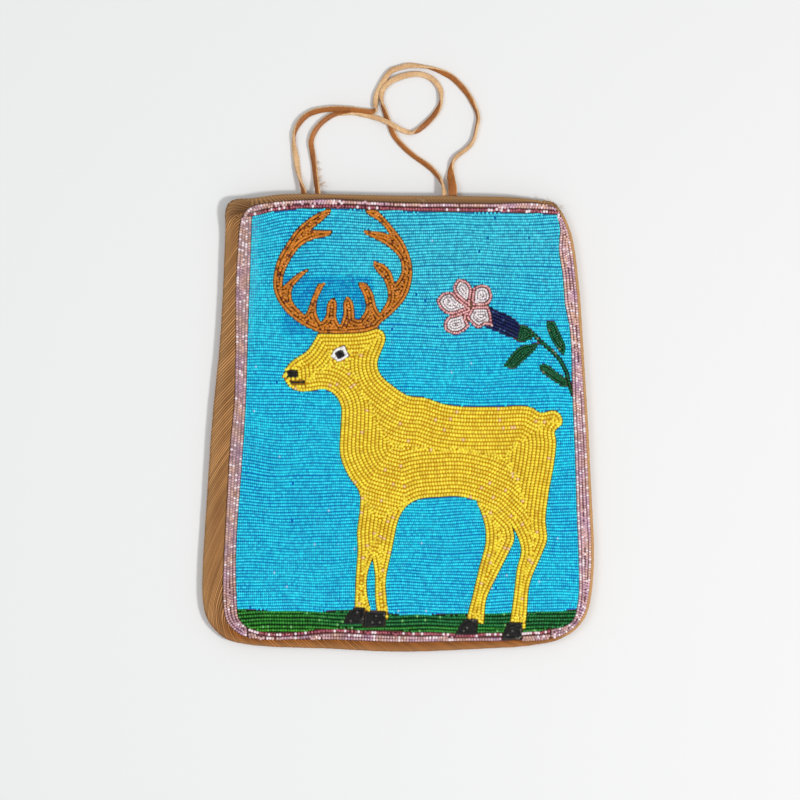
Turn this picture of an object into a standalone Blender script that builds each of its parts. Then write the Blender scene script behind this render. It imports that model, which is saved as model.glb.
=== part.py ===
"""A flat bag of ribbed brown cloth with a front of glass seed beads and two leather handles.

The bag lies on its back. +X is its right side as it is looked at, +Y is the side of the mouth
and the handles, and +Z points up out of the beaded front. The origin is below the middle of the
bag, on the surface that it lies on. All sizes are in metres.
"""

import math

import bmesh
import bpy
import numpy as np
from mathutils import Vector
from mathutils.geometry import delaunay_2d_cdt

# The bag itself.
BAG_WIDTH = 0.239
BAG_HEIGHT = 0.279
CLOTH_THICKNESS = 0.0014
CLOTH_EDGE_RADIUS = 0.0030
FOLD_THICKNESS = 0.0010
POCKET_DEPTH = 0.0064
CANVAS_THICKNESS = 0.0010
SEAM_GAP = 0.0003

# The beadwork: two rows of beads make one ridge of the relief, and one row does in the border.
BEAD_HEIGHT = 0.0015
GROOVE_DEPTH = 0.0006
ROWS_PER_RIDGE = 2
FIELD_ROW_PITCH = 0.0018
FIGURE_ROW_PITCH = 0.0023
BORDER_ROW_PITCH = 0.0023
OUTLINE_ROW_WIDTH = 0.0016
NARROW_ROW_SHARE = 0.6
STEM_WIDTH = 0.0022
FIELD_RIDGE = FIELD_ROW_PITCH * ROWS_PER_RIDGE
FIGURE_RIDGE = FIGURE_ROW_PITCH * ROWS_PER_RIDGE
BORDER_RIDGE = BORDER_ROW_PITCH

# The handles: flat leather thongs.
HANDLE_WIDTH = 0.0030
HANDLE_THICKNESS = 0.0020
HANDLE_POINTS = 32
ROUTE_STEPS = 12

# How finely the outlines are worked out.
GRID_PITCH = 0.0005
CURVE_STEP = 0.0025
OUTLINE_TOLERANCE = 0.00012
ROW_TOLERANCE = 0.00035
CLEAR_OF_ROW = 0.000005
SMALLEST_AREA = 0.000003
SLIVER_AREA = 1e-10
SHARP_CORNER = math.radians(58.0)
ROUNDING_TURNS = (0.0, math.radians(45.0), math.radians(90.0))

# Heights above the surface that the bag lies on.
POCKET_FLOOR = CLOTH_THICKNESS
CANVAS_BOTTOM = POCKET_FLOOR + POCKET_DEPTH
BEAD_BOTTOM = CANVAS_BOTTOM + CANVAS_THICKNESS + SEAM_GAP
FOLD_TOP = BEAD_BOTTOM + FOLD_THICKNESS
HEM_BOTTOM = CANVAS_BOTTOM - SEAM_GAP - FOLD_THICKNESS

# The pattern is drawn on a chart as wide and as high as the bag, from -50 to 50 each way.
BAG_CHART = [
    (-43.7, 47.4), (-42.4, 48.5), (-37.5, 48.9), (-31.0, 49.7), (-24.5, 49.9), (0.5, 49.5),
    (16.8, 49.4), (29.8, 49.1), (37.2, 48.4), (39.5, 48.2), (41.5, 46.3), (44.1, 41.5), (46.1, 30.3),
    (47.3, 15.9), (48.7, -3.5), (49.6, -20.3), (50.0, -27.3), (49.6, -35.4),
    (48.3, -41.3), (46.0, -44.5), (41.1, -47.3), (34.0, -48.6), (19.9, -49.4),
    (0.5, -50.0), (-18.0, -49.3), (-39.1, -48.3), (-44.0, -47.2), (-47.0, -45.0), (-49.0, -42.4),
    (-49.9, -38.5), (-50.0, -33.0), (-49.2, -21.2), (-47.4, 2.0), (-45.7, 15.9), (-44.8, 28.2),
    (-44.1, 42.0),
]
BEADED_CHART = [
    (-39.5, 45.0), (-37.8, 46.8), (-33.2, 47.9), (-24.5, 48.5), (-16.3, 48.7), (-8.2, 48.2),
    (0.5, 47.9), (10.2, 47.8), (23.2, 47.7), (39.5, 47.2), (41.8, 45.9), (43.1, 43.4),
    (45.2, 33.4), (46.9, 15.9), (47.7, 4.8), (48.5, -5.9), (49.0, -20.3),
    (49.3, -27.7), (48.9, -35.4), (48.1, -40.4), (46.4, -43.0), (43.9, -45.2), (40.8, -46.5),
    (33.7, -47.3), (17.1, -47.5), (0.5, -47.7), (-14.8, -47.2), (-27.6, -47.1), (-38.3, -46.7),
    (-41.3, -45.3), (-43.4, -43.4), (-44.2, -40.8), (-44.4, -35.0), (-43.6, -20.3),
    (-42.6, -5.0), (-41.5, 4.8), (-41.2, 15.9), (-41.2, 29.0), (-40.6, 38.4),
]
FIELD_CHART = [
    (-37.1, 44.8), (-31.1, 46.0), (-18.1, 46.7), (0.5, 46.1), (26.5, 45.8), (40.3, 45.4),
    (41.1, 42.6), (40.8, 37.8), (41.8, 32.3), (42.3, 26.2), (43.6, 20.3), (44.3, 4.8), (45.0, -8.1),
    (45.4, -20.3), (45.8, -28.8), (45.5, -39.8), (44.0, -43.3), (38.8, -44.8), (33.2, -45.3),
    (0.5, -45.3), (-14.8, -44.7), (-38.0, -44.5), (-40.3, -42.6), (-40.9, -38.6), (-41.1, -27.7),
    (-39.9, -12.0), (-39.0, -1.5), (-38.4, 9.4), (-38.0, 22.5), (-37.5, 33.4),
]
GRASS_CHART = [
    (-48.0, -40.3), (-27.8, -41.0), (-21.2, -41.2), (-13.0, -40.8), (-2.3, -41.6), (17.3, -41.6),
    (33.2, -41.3), (49.0, -40.5), (49.0, -49.0), (-48.0, -49.0),
]
ELK_CHART = [
    (-20.3, 19.5), (-14.8, 19.4), (-8.2, 19.8), (-4.9, 20.5), (-3.4, 19.3), (-3.3, 17.9),
    (-4.3, 15.7), (-5.3, 12.9), (-4.5, 10.6), (-1.4, 8.1), (2.8, 5.9), (7.0, 5.5), (11.2, 4.2),
    (15.8, 3.6), (24.9, 3.5), (34.0, 3.4), (36.0, 2.3), (39.9, 2.7), (41.5, 1.5), (41.7, -0.2),
    (39.8, -1.7), (40.1, -3.7), (39.5, -9.2), (38.3, -14.6), (37.4, -21.2), (37.8, -25.3),
    (36.6, -28.2), (33.4, -34.9), (32.6, -41.9), (32.2, -44.8), (28.3, -44.3), (29.3, -38.5),
    (30.3, -31.3), (31.3, -27.9), (30.7, -25.3), (28.8, -22.0), (29.5, -25.2), (28.2, -27.9),
    (24.6, -34.1), (22.4, -38.2), (21.8, -43.7), (17.2, -43.2), (18.7, -38.5), (20.7, -31.2),
    (22.3, -25.8), (22.1, -22.4), (20.0, -16.8), (15.2, -15.9), (10.3, -16.1),
    (5.4, -16.5), (2.5, -17.8), (0.5, -20.1), (-1.7, -27.9), (-3.2, -34.5), (-2.8, -39.7),
    (-2.6, -42.8), (-4.8, -42.1), (-5.6, -39.5), (-5.9, -32.3), (-6.5, -29.3), (-7.8, -32.8),
    (-8.0, -36.5), (-6.9, -41.3), (-11.0, -41.3), (-10.7, -33.6), (-10.2, -27.4), (-10.4, -24.0),
    (-9.7, -19.0), (-9.7, -15.3), (-12.5, -11.6), (-14.6, -7.2), (-14.4, 0.7), (-14.4, 3.4),
    (-15.6, 5.7), (-18.0, 7.2), (-25.1, 6.9), (-27.7, 8.0), (-29.3, 10.2), (-27.7, 12.9),
    (-22.9, 15.9),
]
ANTLERS_CHART = [
    (-20.3, 18.6), (-20.3, 19.8), (-24.5, 21.5), (-28.4, 24.2), (-31.0, 27.6), (-31.7, 30.3),
    (-30.4, 35.9), (-28.7, 38.4), (-26.1, 41.8), (-22.9, 44.3), (-19.6, 46.0), (-17.3, 46.7),
    (-17.0, 46.0), (-19.3, 44.0), (-22.3, 42.0), (-20.3, 41.9), (-16.7, 41.8), (-17.0, 41.1),
    (-21.2, 40.1), (-24.5, 38.7), (-27.1, 35.9), (-29.1, 32.3), (-29.5, 29.5), (-28.4, 30.3),
    (-25.8, 32.3), (-22.2, 33.8), (-24.8, 31.5), (-26.9, 29.3), (-26.9, 26.6), (-23.8, 23.5),
    (-23.1, 24.2), (-21.9, 27.1), (-20.3, 30.3), (-18.5, 30.5), (-20.5, 26.9), (-20.7, 23.7),
    (-19.6, 21.9), (-18.4, 23.1), (-17.7, 26.4), (-16.2, 27.3), (-15.7, 26.4), (-15.6, 22.5),
    (-14.7, 21.3), (-13.8, 23.7), (-13.8, 26.4), (-12.8, 27.7), (-11.6, 26.4), (-11.1, 22.7),
    (-9.9, 22.4), (-8.2, 24.7), (-8.5, 27.3), (-9.9, 29.8), (-10.2, 30.6), (-8.5, 30.6),
    (-6.5, 28.4), (-5.4, 24.9), (-4.6, 23.9), (-2.7, 26.7), (-2.6, 28.8), (-3.6, 31.2),
    (-5.9, 33.7), (-6.2, 35.1), (-4.3, 34.8), (-2.0, 33.1), (-0.8, 30.2), (0.9, 32.8), (0.4, 35.8),
    (-3.2, 38.9), (-6.1, 40.2), (-8.6, 41.6), (-8.6, 42.0), (-4.1, 41.5), (-2.0, 40.9),
    (-3.2, 42.5), (-5.5, 44.4), (-8.0, 45.7), (-8.4, 46.9), (-5.7, 46.4), (-2.2, 43.4),
    (1.7, 38.9), (3.6, 33.2), (2.1, 27.6), (-1.7, 23.7), (-5.1, 21.0), (-5.6, 18.6),
]
EYE_RING_CHART = [(-16.4, 15.8), (-13.6, 16.9), (-12.4, 14.5), (-15.3, 13.4), (-17.0, 14.4)]
PUPIL_CHART = [(-16.0, 15.3), (-14.3, 15.9), (-13.6, 14.7), (-15.1, 13.9)]
NOSE_CHART = [(-27.7, 11.5), (-25.6, 11.4), (-25.5, 10.0), (-29.6, 9.8), (-29.2, 10.6)]
MOUTH_CHART = [(-27.3, 9.3), (-23.8, 9.3), (-23.8, 8.4), (-27.3, 8.4)]
HOOF_CHARTS = {
    "hoof_front_left": [
        (-11.2, -40.3), (-8.5, -40.3), (-8.7, -43.8), (-13.9, -43.8), (-13.1, -41.9),
    ],
    "hoof_front_right": [
        (-8.2, -40.9), (-3.1, -41.0), (-3.3, -44.4), (-9.0, -44.4), (-8.8, -43.0),
    ],
    "hoof_hind_left": [
        (17.2, -42.7), (20.2, -42.8), (20.0, -46.1), (14.7, -46.1), (15.5, -44.3),
    ],
    "hoof_hind_right": [
        (27.9, -43.4), (31.6, -43.5), (31.4, -47.2), (26.4, -47.2), (26.9, -45.4),
    ],
}
PETAL_CHARTS = {
    "petal_lower_right": [
        (18.8, 25.4), (23.0, 25.5), (23.7, 23.6), (24.0, 21.0), (22.4, 21.4), (20.4, 20.6),
        (18.6, 21.6), (17.3, 22.9),
    ],
    "petal_top_left": [
        (15.3, 31.5), (14.0, 29.7), (14.4, 28.3), (18.3, 25.2), (18.4, 26.7), (18.7, 29.4),
        (17.3, 31.0),
    ],
    "petal_top_right": [
        (18.8, 29.4), (21.2, 30.2), (23.0, 29.7), (23.9, 27.8), (23.7, 26.7), (22.7, 25.8),
        (18.8, 25.5), (18.7, 27.8),
    ],
    "petal_left": [
        (9.7, 26.7), (11.6, 28.5), (13.6, 28.6), (18.3, 25.0), (12.9, 23.6), (10.7, 24.9),
    ],
    "petal_lower_left": [
        (18.3, 24.8), (14.9, 24.0), (12.6, 23.1), (11.6, 21.4), (12.3, 19.9), (14.7, 19.3),
        (17.0, 20.1), (18.2, 21.2), (17.3, 22.7),
    ],
}
FLOWER_TUBE_CHART = [
    (23.0, 25.6), (24.3, 24.7), (28.0, 23.4), (30.7, 21.4), (30.2, 18.3), (27.4, 19.1),
    (24.8, 20.1), (21.9, 21.2), (20.9, 23.6),
]
CALYX_CHART = [(30.5, 21.3), (32.9, 21.0), (34.2, 19.6), (33.9, 18.3), (31.6, 17.7), (29.9, 18.0)]
LEAF_CHARTS = {
    "leaf_upper": [
        (37.8, 22.2), (39.7, 22.1), (41.2, 19.2), (42.5, 16.5), (42.0, 14.7), (40.7, 16.0),
        (39.1, 18.0), (37.8, 21.2),
    ],
    "leaf_lower": [
        (26.8, 12.4), (28.5, 14.5), (30.8, 16.5), (33.7, 17.2), (35.8, 17.4), (34.7, 15.9),
        (31.6, 13.4), (29.5, 11.9),
    ],
    "leaf_base": [
        (36.0, 12.7), (37.6, 12.8), (40.2, 11.1), (42.8, 9.4), (43.0, 8.2), (42.0, 7.8),
        (38.9, 9.6), (36.1, 11.6),
    ],
}
STEM_CHART = [
    (33.2, 20.3), (36.2, 17.8), (38.9, 15.8), (41.2, 13.8), (42.8, 11.1), (43.3, 9.0), (44.4, 6.2),
]

# How far the border's top and bottom rows and the hem reach, also as shares of the bag.
TOP_ROWS_LOW = 45.1
BOTTOM_ROWS_LEFT = -38.3
BOTTOM_ROWS_RIGHT = 38.8
HEM_LEFT = -37.5
HEM_RIGHT = 37.5
HEM_LOW = 44.0
BOTTOM_ROWS_HIGH = -40.0

# The bag's two sides are carried on past the mouth by this much before the mouth is cut.
MOUTH_LEFT = -43.5
MOUTH_RIGHT = 40.3
MOUTH_LOW = 40.0
MOUTH_SPARE = 51.5

# One place inside each area of sky, by which the area gets its name.
SKY_SEEDS = {
    "sky_left": (-34.0, 0.0),
    "sky_crown": (-12.0, 38.0),
    "sky_right": (25.0, 10.0),
    "sky_belly": (9.0, -30.0),
    "sky_foreleg_gap": (-6.9, -38.5),
    "sky_hindleg_gap": (25.5, -39.0),
}

# The routes of the handles, chosen by hand: out of the mouth, down, round, and back into it.
OUTER_ROUTE = [
    (-0.0570, 0.1300, 0.0052), (-0.0570, 0.1345, 0.0052), (-0.0573, 0.1403, 0.0050),
    (-0.0586, 0.1462, 0.0032), (-0.0600, 0.1540, 0.0012), (-0.0610, 0.1610, 0.0011),
    (-0.0622, 0.1726, 0.0011), (-0.0613, 0.1793, 0.0011), (-0.0573, 0.1860, 0.0011),
    (-0.0506, 0.1903, 0.0011), (-0.0415, 0.1922, 0.0011), (-0.0323, 0.1925, 0.0011),
    (-0.0232, 0.1910, 0.0011), (-0.0162, 0.1892, 0.0011), (-0.0134, 0.1910, 0.0011),
    (-0.0139, 0.1946, 0.0011), (-0.0122, 0.2019, 0.0011), (-0.0055, 0.2129, 0.0011),
    (0.0012, 0.2159, 0.0011), (0.0085, 0.2172, 0.0011), (0.0201, 0.2147, 0.0011),
    (0.0348, 0.2068, 0.0011), (0.0409, 0.2007, 0.0011), (0.0451, 0.1952, 0.0011),
    (0.0488, 0.1867, 0.0011), (0.0478, 0.1796, 0.0011), (0.0461, 0.1726, 0.0011),
    (0.0427, 0.1678, 0.0011), (0.0359, 0.1625, 0.0011), (0.0328, 0.1574, 0.0011),
    (0.0322, 0.1507, 0.0018), (0.0332, 0.1430, 0.0046), (0.0333, 0.1362, 0.0052),
    (0.0333, 0.1300, 0.0052),
]
INNER_ROUTE = [
    (-0.0485, 0.1300, 0.0052), (-0.0485, 0.1345, 0.0052), (-0.0488, 0.1403, 0.0050),
    (-0.0499, 0.1480, 0.0026), (-0.0506, 0.1560, 0.0011), (-0.0514, 0.1641, 0.0011),
    (-0.0521, 0.1710, 0.0011), (-0.0488, 0.1779, 0.0011), (-0.0429, 0.1840, 0.0011),
    (-0.0360, 0.1869, 0.0011), (-0.0262, 0.1868, 0.0011), (-0.0171, 0.1850, 0.0013),
    (-0.0110, 0.1834, 0.0027), (-0.0052, 0.1810, 0.0035), (0.0005, 0.1782, 0.0025),
    (0.0050, 0.1760, 0.0012), (0.0085, 0.1755, 0.0011), (0.0119, 0.1769, 0.0011),
    (0.0171, 0.1812, 0.0011), (0.0230, 0.1882, 0.0011), (0.0258, 0.1952, 0.0011),
    (0.0256, 0.2019, 0.0011), (0.0218, 0.2077, 0.0011), (0.0152, 0.2107, 0.0011),
    (0.0085, 0.2109, 0.0011), (0.0006, 0.2090, 0.0011), (-0.0052, 0.2060, 0.0011),
    (-0.0083, 0.2017, 0.0011), (-0.0091, 0.1958, 0.0011), (-0.0079, 0.1891, 0.0011),
    (-0.0048, 0.1812, 0.0011), (-0.0018, 0.1745, 0.0011), (0.0034, 0.1684, 0.0011),
    (0.0102, 0.1625, 0.0011), (0.0187, 0.1565, 0.0012), (0.0240, 0.1510, 0.0020),
    (0.0268, 0.1455, 0.0040), (0.0276, 0.1400, 0.0051), (0.0278, 0.1345, 0.0052),
    (0.0278, 0.1300, 0.0052),
]

COLOURS = {
    "cloth": (0.32, 0.15, 0.052),
    "canvas": (0.55, 0.47, 0.33),
    "sky": (0.03, 0.37, 0.58),
    "elk": (0.78, 0.49, 0.03),
    "antlers": (0.58, 0.19, 0.008),
    "black": (0.006, 0.006, 0.008),
    "white": (0.75, 0.75, 0.76),
    "grass": (0.015, 0.12, 0.02),
    "pink": (0.45, 0.36, 0.35),
    "plum": (0.19, 0.03, 0.06),
    "petal": (0.50, 0.37, 0.37),
    "navy": (0.006, 0.017, 0.07),
    "leaf": (0.01, 0.09, 0.02),
    "leather": (0.33, 0.14, 0.055),
}
BEAD_ROUGHNESS = 0.25
CLOTH_ROUGHNESS = 0.9
LEATHER_ROUGHNESS = 0.6


def clear_scene():
    """Removes what is in the scene, such as the startup cube."""
    for item in list(bpy.data.objects):
        bpy.data.objects.remove(item, do_unlink=True)


def material(name, roughness):
    """Makes or returns the material of one colour of the list above."""
    found = bpy.data.materials.get(name)
    if found:
        return found
    made = bpy.data.materials.new(name)
    made.use_nodes = True
    shader = made.node_tree.nodes["Principled BSDF"]
    shader.inputs["Base Color"].default_value = (*COLOURS[name], 1.0)
    shader.inputs["Roughness"].default_value = roughness
    shader.inputs["Metallic"].default_value = 0.0
    made.diffuse_color = (*COLOURS[name], 1.0)
    return made


def on_chart(points):
    """Turns places on the chart into places on the bag."""
    return np.array(points, dtype=float) * (BAG_WIDTH / 100.0, BAG_HEIGHT / 100.0)


def unit(vectors):
    """Scales each vector to a length of one."""
    return vectors / np.maximum(np.linalg.norm(vectors, axis=-1, keepdims=True), 1e-12)


def smooth_outline(points):
    """Draws a smooth closed curve through the points, with a corner where they turn sharply."""
    before = unit(points - np.roll(points, 1, axis=0))
    after = unit(np.roll(points, -1, axis=0) - points)
    corner = np.sum(before * after, axis=1) < math.cos(SHARP_CORNER)
    tangent = unit(before + after)
    curve = []
    for index, start in enumerate(points):
        other = (index + 1) % len(points)
        end = points[other]
        reach = np.linalg.norm(end - start)
        leave = after[index] if corner[index] else tangent[index]
        arrive = before[other] if corner[other] else tangent[other]
        steps = max(1, math.ceil(reach / CURVE_STEP))
        for step in range(steps):
            t = step / steps
            curve.append(
                (2 * t**3 - 3 * t**2 + 1) * start
                + (t**3 - 2 * t**2 + t) * reach * leave
                + (3 * t**2 - 2 * t**3) * end
                + (t**3 - t**2) * reach * arrive
            )
    return np.array(curve)


def fitted(outline):
    """Centres an outline on the origin and gives it the bag's exact width and height."""
    low = outline.min(axis=0)
    high = outline.max(axis=0)
    return (outline - (low + high) / 2) * (np.array([BAG_WIDTH, BAG_HEIGHT]) / (high - low))


class Grid:
    """A grid of points over the bag, on which areas are added, taken away and grown."""

    def __init__(self, margin):
        self.x = np.arange(-BAG_WIDTH / 2 - margin, BAG_WIDTH / 2 + margin, GRID_PITCH)
        self.y = np.arange(-BAG_HEIGHT / 2 - margin, BAG_HEIGHT / 2 + margin, GRID_PITCH)
        self.far = margin

    def depth(self, outline):
        """Gives how deep each point lies inside an outline, and below zero outside it."""
        low = outline.min(axis=0) - self.far
        high = outline.max(axis=0) + self.far
        columns = np.flatnonzero((self.x >= low[0]) & (self.x <= high[0]))
        rows = np.flatnonzero((self.y >= low[1]) & (self.y <= high[1]))
        across, up = np.meshgrid(self.x[columns], self.y[rows])
        nearest = np.full(across.shape, np.inf)
        inside = np.zeros(across.shape, dtype=bool)
        for start, end in zip(outline, np.roll(outline, -1, axis=0)):
            side = end - start
            share = ((across - start[0]) * side[0] + (up - start[1]) * side[1]) / (side @ side)
            share = np.clip(share, 0.0, 1.0)
            sideways = across - start[0] - share * side[0]
            upward = up - start[1] - share * side[1]
            np.minimum(nearest, sideways**2 + upward**2, out=nearest)
            if start[1] != end[1]:
                level = self.y[rows]
                crossed = (level > min(start[1], end[1])) & (level <= max(start[1], end[1]))
                at = start[0] + (level[crossed] - start[1]) * side[0] / side[1]
                inside[crossed] ^= across[crossed] < at[:, None]
        whole = np.full((len(self.y), len(self.x)), -self.far)
        signed = np.where(inside, 1.0, -1.0) * np.sqrt(nearest)
        whole[np.ix_(rows, columns)] = np.maximum(signed, -self.far)
        return whole

    def above(self, level):
        """Gives how far each point lies above a level on the chart."""
        return np.repeat((self.y - level * BAG_HEIGHT / 100.0)[:, None], len(self.x), axis=1)

    def right_of(self, place):
        """Gives how far each point lies to the right of a place on the chart."""
        return np.repeat((self.x - place * BAG_WIDTH / 100.0)[None, :], len(self.y), axis=0)

    def outlines(self, depth, level, tolerance):
        """Draws the closed lines on which the depth has one level, the material on their left."""
        depth = depth - level
        depth[0, :] = depth[-1, :] = -GRID_PITCH
        depth[:, 0] = depth[:, -1] = -GRID_PITCH
        follows = follow_level(depth)
        loops = []
        while follows:
            first, edge = follows.popitem()
            loop = [first]
            while edge != first:
                loop.append(edge)
                edge = follows.pop(edge)
            points = np.array([self.crossing(depth, *key) for key in loop])
            if abs(area(points)) > SMALLEST_AREA:
                loops.append(thinned(points, tolerance))
        return loops

    def crossing(self, depth, row, column, upright):
        """Places the point where the depth is zero on one edge between two grid points."""
        here = depth[row, column]
        there = depth[row + 1, column] if upright else depth[row, column + 1]
        share = here / (here - there) * GRID_PITCH
        if upright:
            return self.x[column], self.y[row] + share
        return self.x[column] + share, self.y[row]


# For each set of corners that lie inside, which edge of a cell the line leaves from and reaches.
# The edges are the low one, the right one, the high one and the left one.
CELL_LINES = {
    1: [(0, 3)], 2: [(1, 0)], 3: [(1, 3)], 4: [(2, 1)], 5: [(0, 3), (2, 1)], 6: [(2, 0)],
    7: [(2, 3)], 8: [(3, 2)], 9: [(0, 2)], 10: [(1, 0), (3, 2)], 11: [(1, 2)], 12: [(3, 1)],
    13: [(0, 1)], 14: [(3, 0)],
}


def follow_level(depth):
    """Says, for each grid edge that the zero line crosses, which edge it crosses next."""
    inside = depth > 0
    corners = (
        inside[:-1, :-1] + 2 * inside[:-1, 1:] + 4 * inside[1:, 1:] + 8 * inside[1:, :-1]
    )
    follows = {}
    for row, column in zip(*np.nonzero((corners > 0) & (corners < 15))):
        edges = [
            (row, column, False), (row, column + 1, True),
            (row + 1, column, False), (row, column, True),
        ]
        for leave, reach in CELL_LINES[int(corners[row, column])]:
            follows[edges[leave]] = edges[reach]
    return follows


def area(loop):
    """Gives a loop's area, above zero where it runs anticlockwise."""
    x, y = loop[:, 0], loop[:, 1]
    return float(np.sum(x * np.roll(y, -1) - y * np.roll(x, -1))) / 2


def thinned(loop, tolerance):
    """Leaves out the points of a closed loop that lie close to the line without them."""
    far = int(np.argmax(np.sum((loop - loop[0]) ** 2, axis=1)))
    keep = {0, far}
    spans = [(0, far), (far, len(loop))]
    while spans:
        first, last = spans.pop()
        if last - first < 2:
            continue
        start = loop[first]
        side = loop[last % len(loop)] - start
        between = loop[first + 1:last] - start
        away = np.abs(between[:, 0] * side[1] - between[:, 1] * side[0]) / np.linalg.norm(side)
        worst = int(np.argmax(away))
        if away[worst] > tolerance:
            middle = first + 1 + worst
            keep.add(middle)
            spans += [(first, middle), (middle, last)]
    return loop[sorted(keep)]


def is_inside(point, loops):
    """Says whether a point lies inside an odd number of loops."""
    crossings = 0
    for loop in loops:
        start, end = loop, np.roll(loop, -1, axis=0)
        spans = (start[:, 1] > point[1]) != (end[:, 1] > point[1])
        start, side = start[spans], (end - start)[spans]
        at = start[:, 0] + (point[1] - start[:, 1]) * side[:, 0] / side[:, 1]
        crossings += int(np.sum(at > point[0]))
    return crossings % 2 == 1


def areas_with_holes(loops):
    """Sorts loops into areas, each an outer loop followed by the holes in it."""
    outer = [loop for loop in loops if area(loop) > 0]
    holes = [loop for loop in loops if area(loop) <= 0]
    return [[loop] + [hole for hole in holes if is_inside(hole[0], [loop])] for loop in outer]


def triangles(points, edges, rim, loops):
    """Fills the area between loops, whose own edges are the first ones given, with triangles."""
    flat = [Vector((float(x), float(y))) for x, y in points]
    corners, lines, faces, source, line_source, _ = delaunay_2d_cdt(flat, edges, [], 0, 1e-7, True)
    on_rim = {
        frozenset(line) for line, ids in zip(lines, line_source) if any(edge < rim for edge in ids)
    }
    beside = {}
    for index, face in enumerate(faces):
        for side in zip(face, face[1:] + face[:1]):
            beside.setdefault(frozenset(side), []).append(index)
    sizes = [abs(triangle_area(*(corners[corner] for corner in face))) for face in faces]
    kept = []
    waiting = set(range(len(faces)))
    while waiting:
        region = spread(waiting, faces, beside, on_rim)
        largest = max(region, key=lambda index: sizes[index])
        middle = sum((corners[corner] for corner in faces[largest]), Vector((0.0, 0.0))) / 3
        if sizes[largest] > SLIVER_AREA and is_inside(middle, loops):
            kept += [[source[corner][0] for corner in faces[index]] for index in region]
    return kept


def triangle_area(first, second, third):
    """Gives a triangle's area, above zero where its corners run anticlockwise."""
    return (second - first).cross(third - first) / 2


def spread(waiting, faces, beside, on_rim):
    """Takes one triangle that waits, and all that are reached from it without crossing a rim."""
    start = waiting.pop()
    region, edge_of_region = [start], [start]
    while edge_of_region:
        face = faces[edge_of_region.pop()]
        for side in zip(face, face[1:] + face[:1]):
            side = frozenset(side)
            if side in on_rim:
                continue
            for other in beside[side]:
                if other in waiting:
                    waiting.remove(other)
                    region.append(other)
                    edge_of_region.append(other)
    return region


def ring_edges(first, count):
    """Joins a run of points into a closed ring."""
    return [(first + step, first + (step + 1) % count) for step in range(count)]


def off_the_rows(loop, pitch):
    """Moves a loop's points a hair off the level row lines, so that each line crosses cleanly."""
    share = loop[:, 1] / pitch
    offset = (share - np.round(share)) * pitch
    side = np.where(offset < 0, -1.0, 1.0)
    moved = loop.copy()
    close = np.abs(offset) < CLEAR_OF_ROW
    moved[close, 1] = np.round(share[close]) * pitch + side[close] * CLEAR_OF_ROW
    return moved


def split_at_rows(loop, pitch):
    """Adds a point wherever a loop crosses one of the level row lines."""
    points = []
    for start, end in zip(loop, np.roll(loop, -1, axis=0)):
        points.append((start, False))
        low, high = sorted((start[1], end[1]))
        levels = np.arange(math.ceil(low / pitch), math.floor(high / pitch) + 1)
        if start[1] > end[1]:
            levels = levels[::-1]
        for level in levels:
            share = (level * pitch - start[1]) / (end[1] - start[1])
            points.append((np.array([start[0] + share * (end[0] - start[0]), level * pitch]), True))
    return points


def row_height(y, ridge):
    """Gives the height of the beads at a level: high on a row's middle, low between rows."""
    share = abs((y / ridge) % 1.0 - 0.5) * 2
    return BEAD_HEIGHT - GROOVE_DEPTH * share


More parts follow.
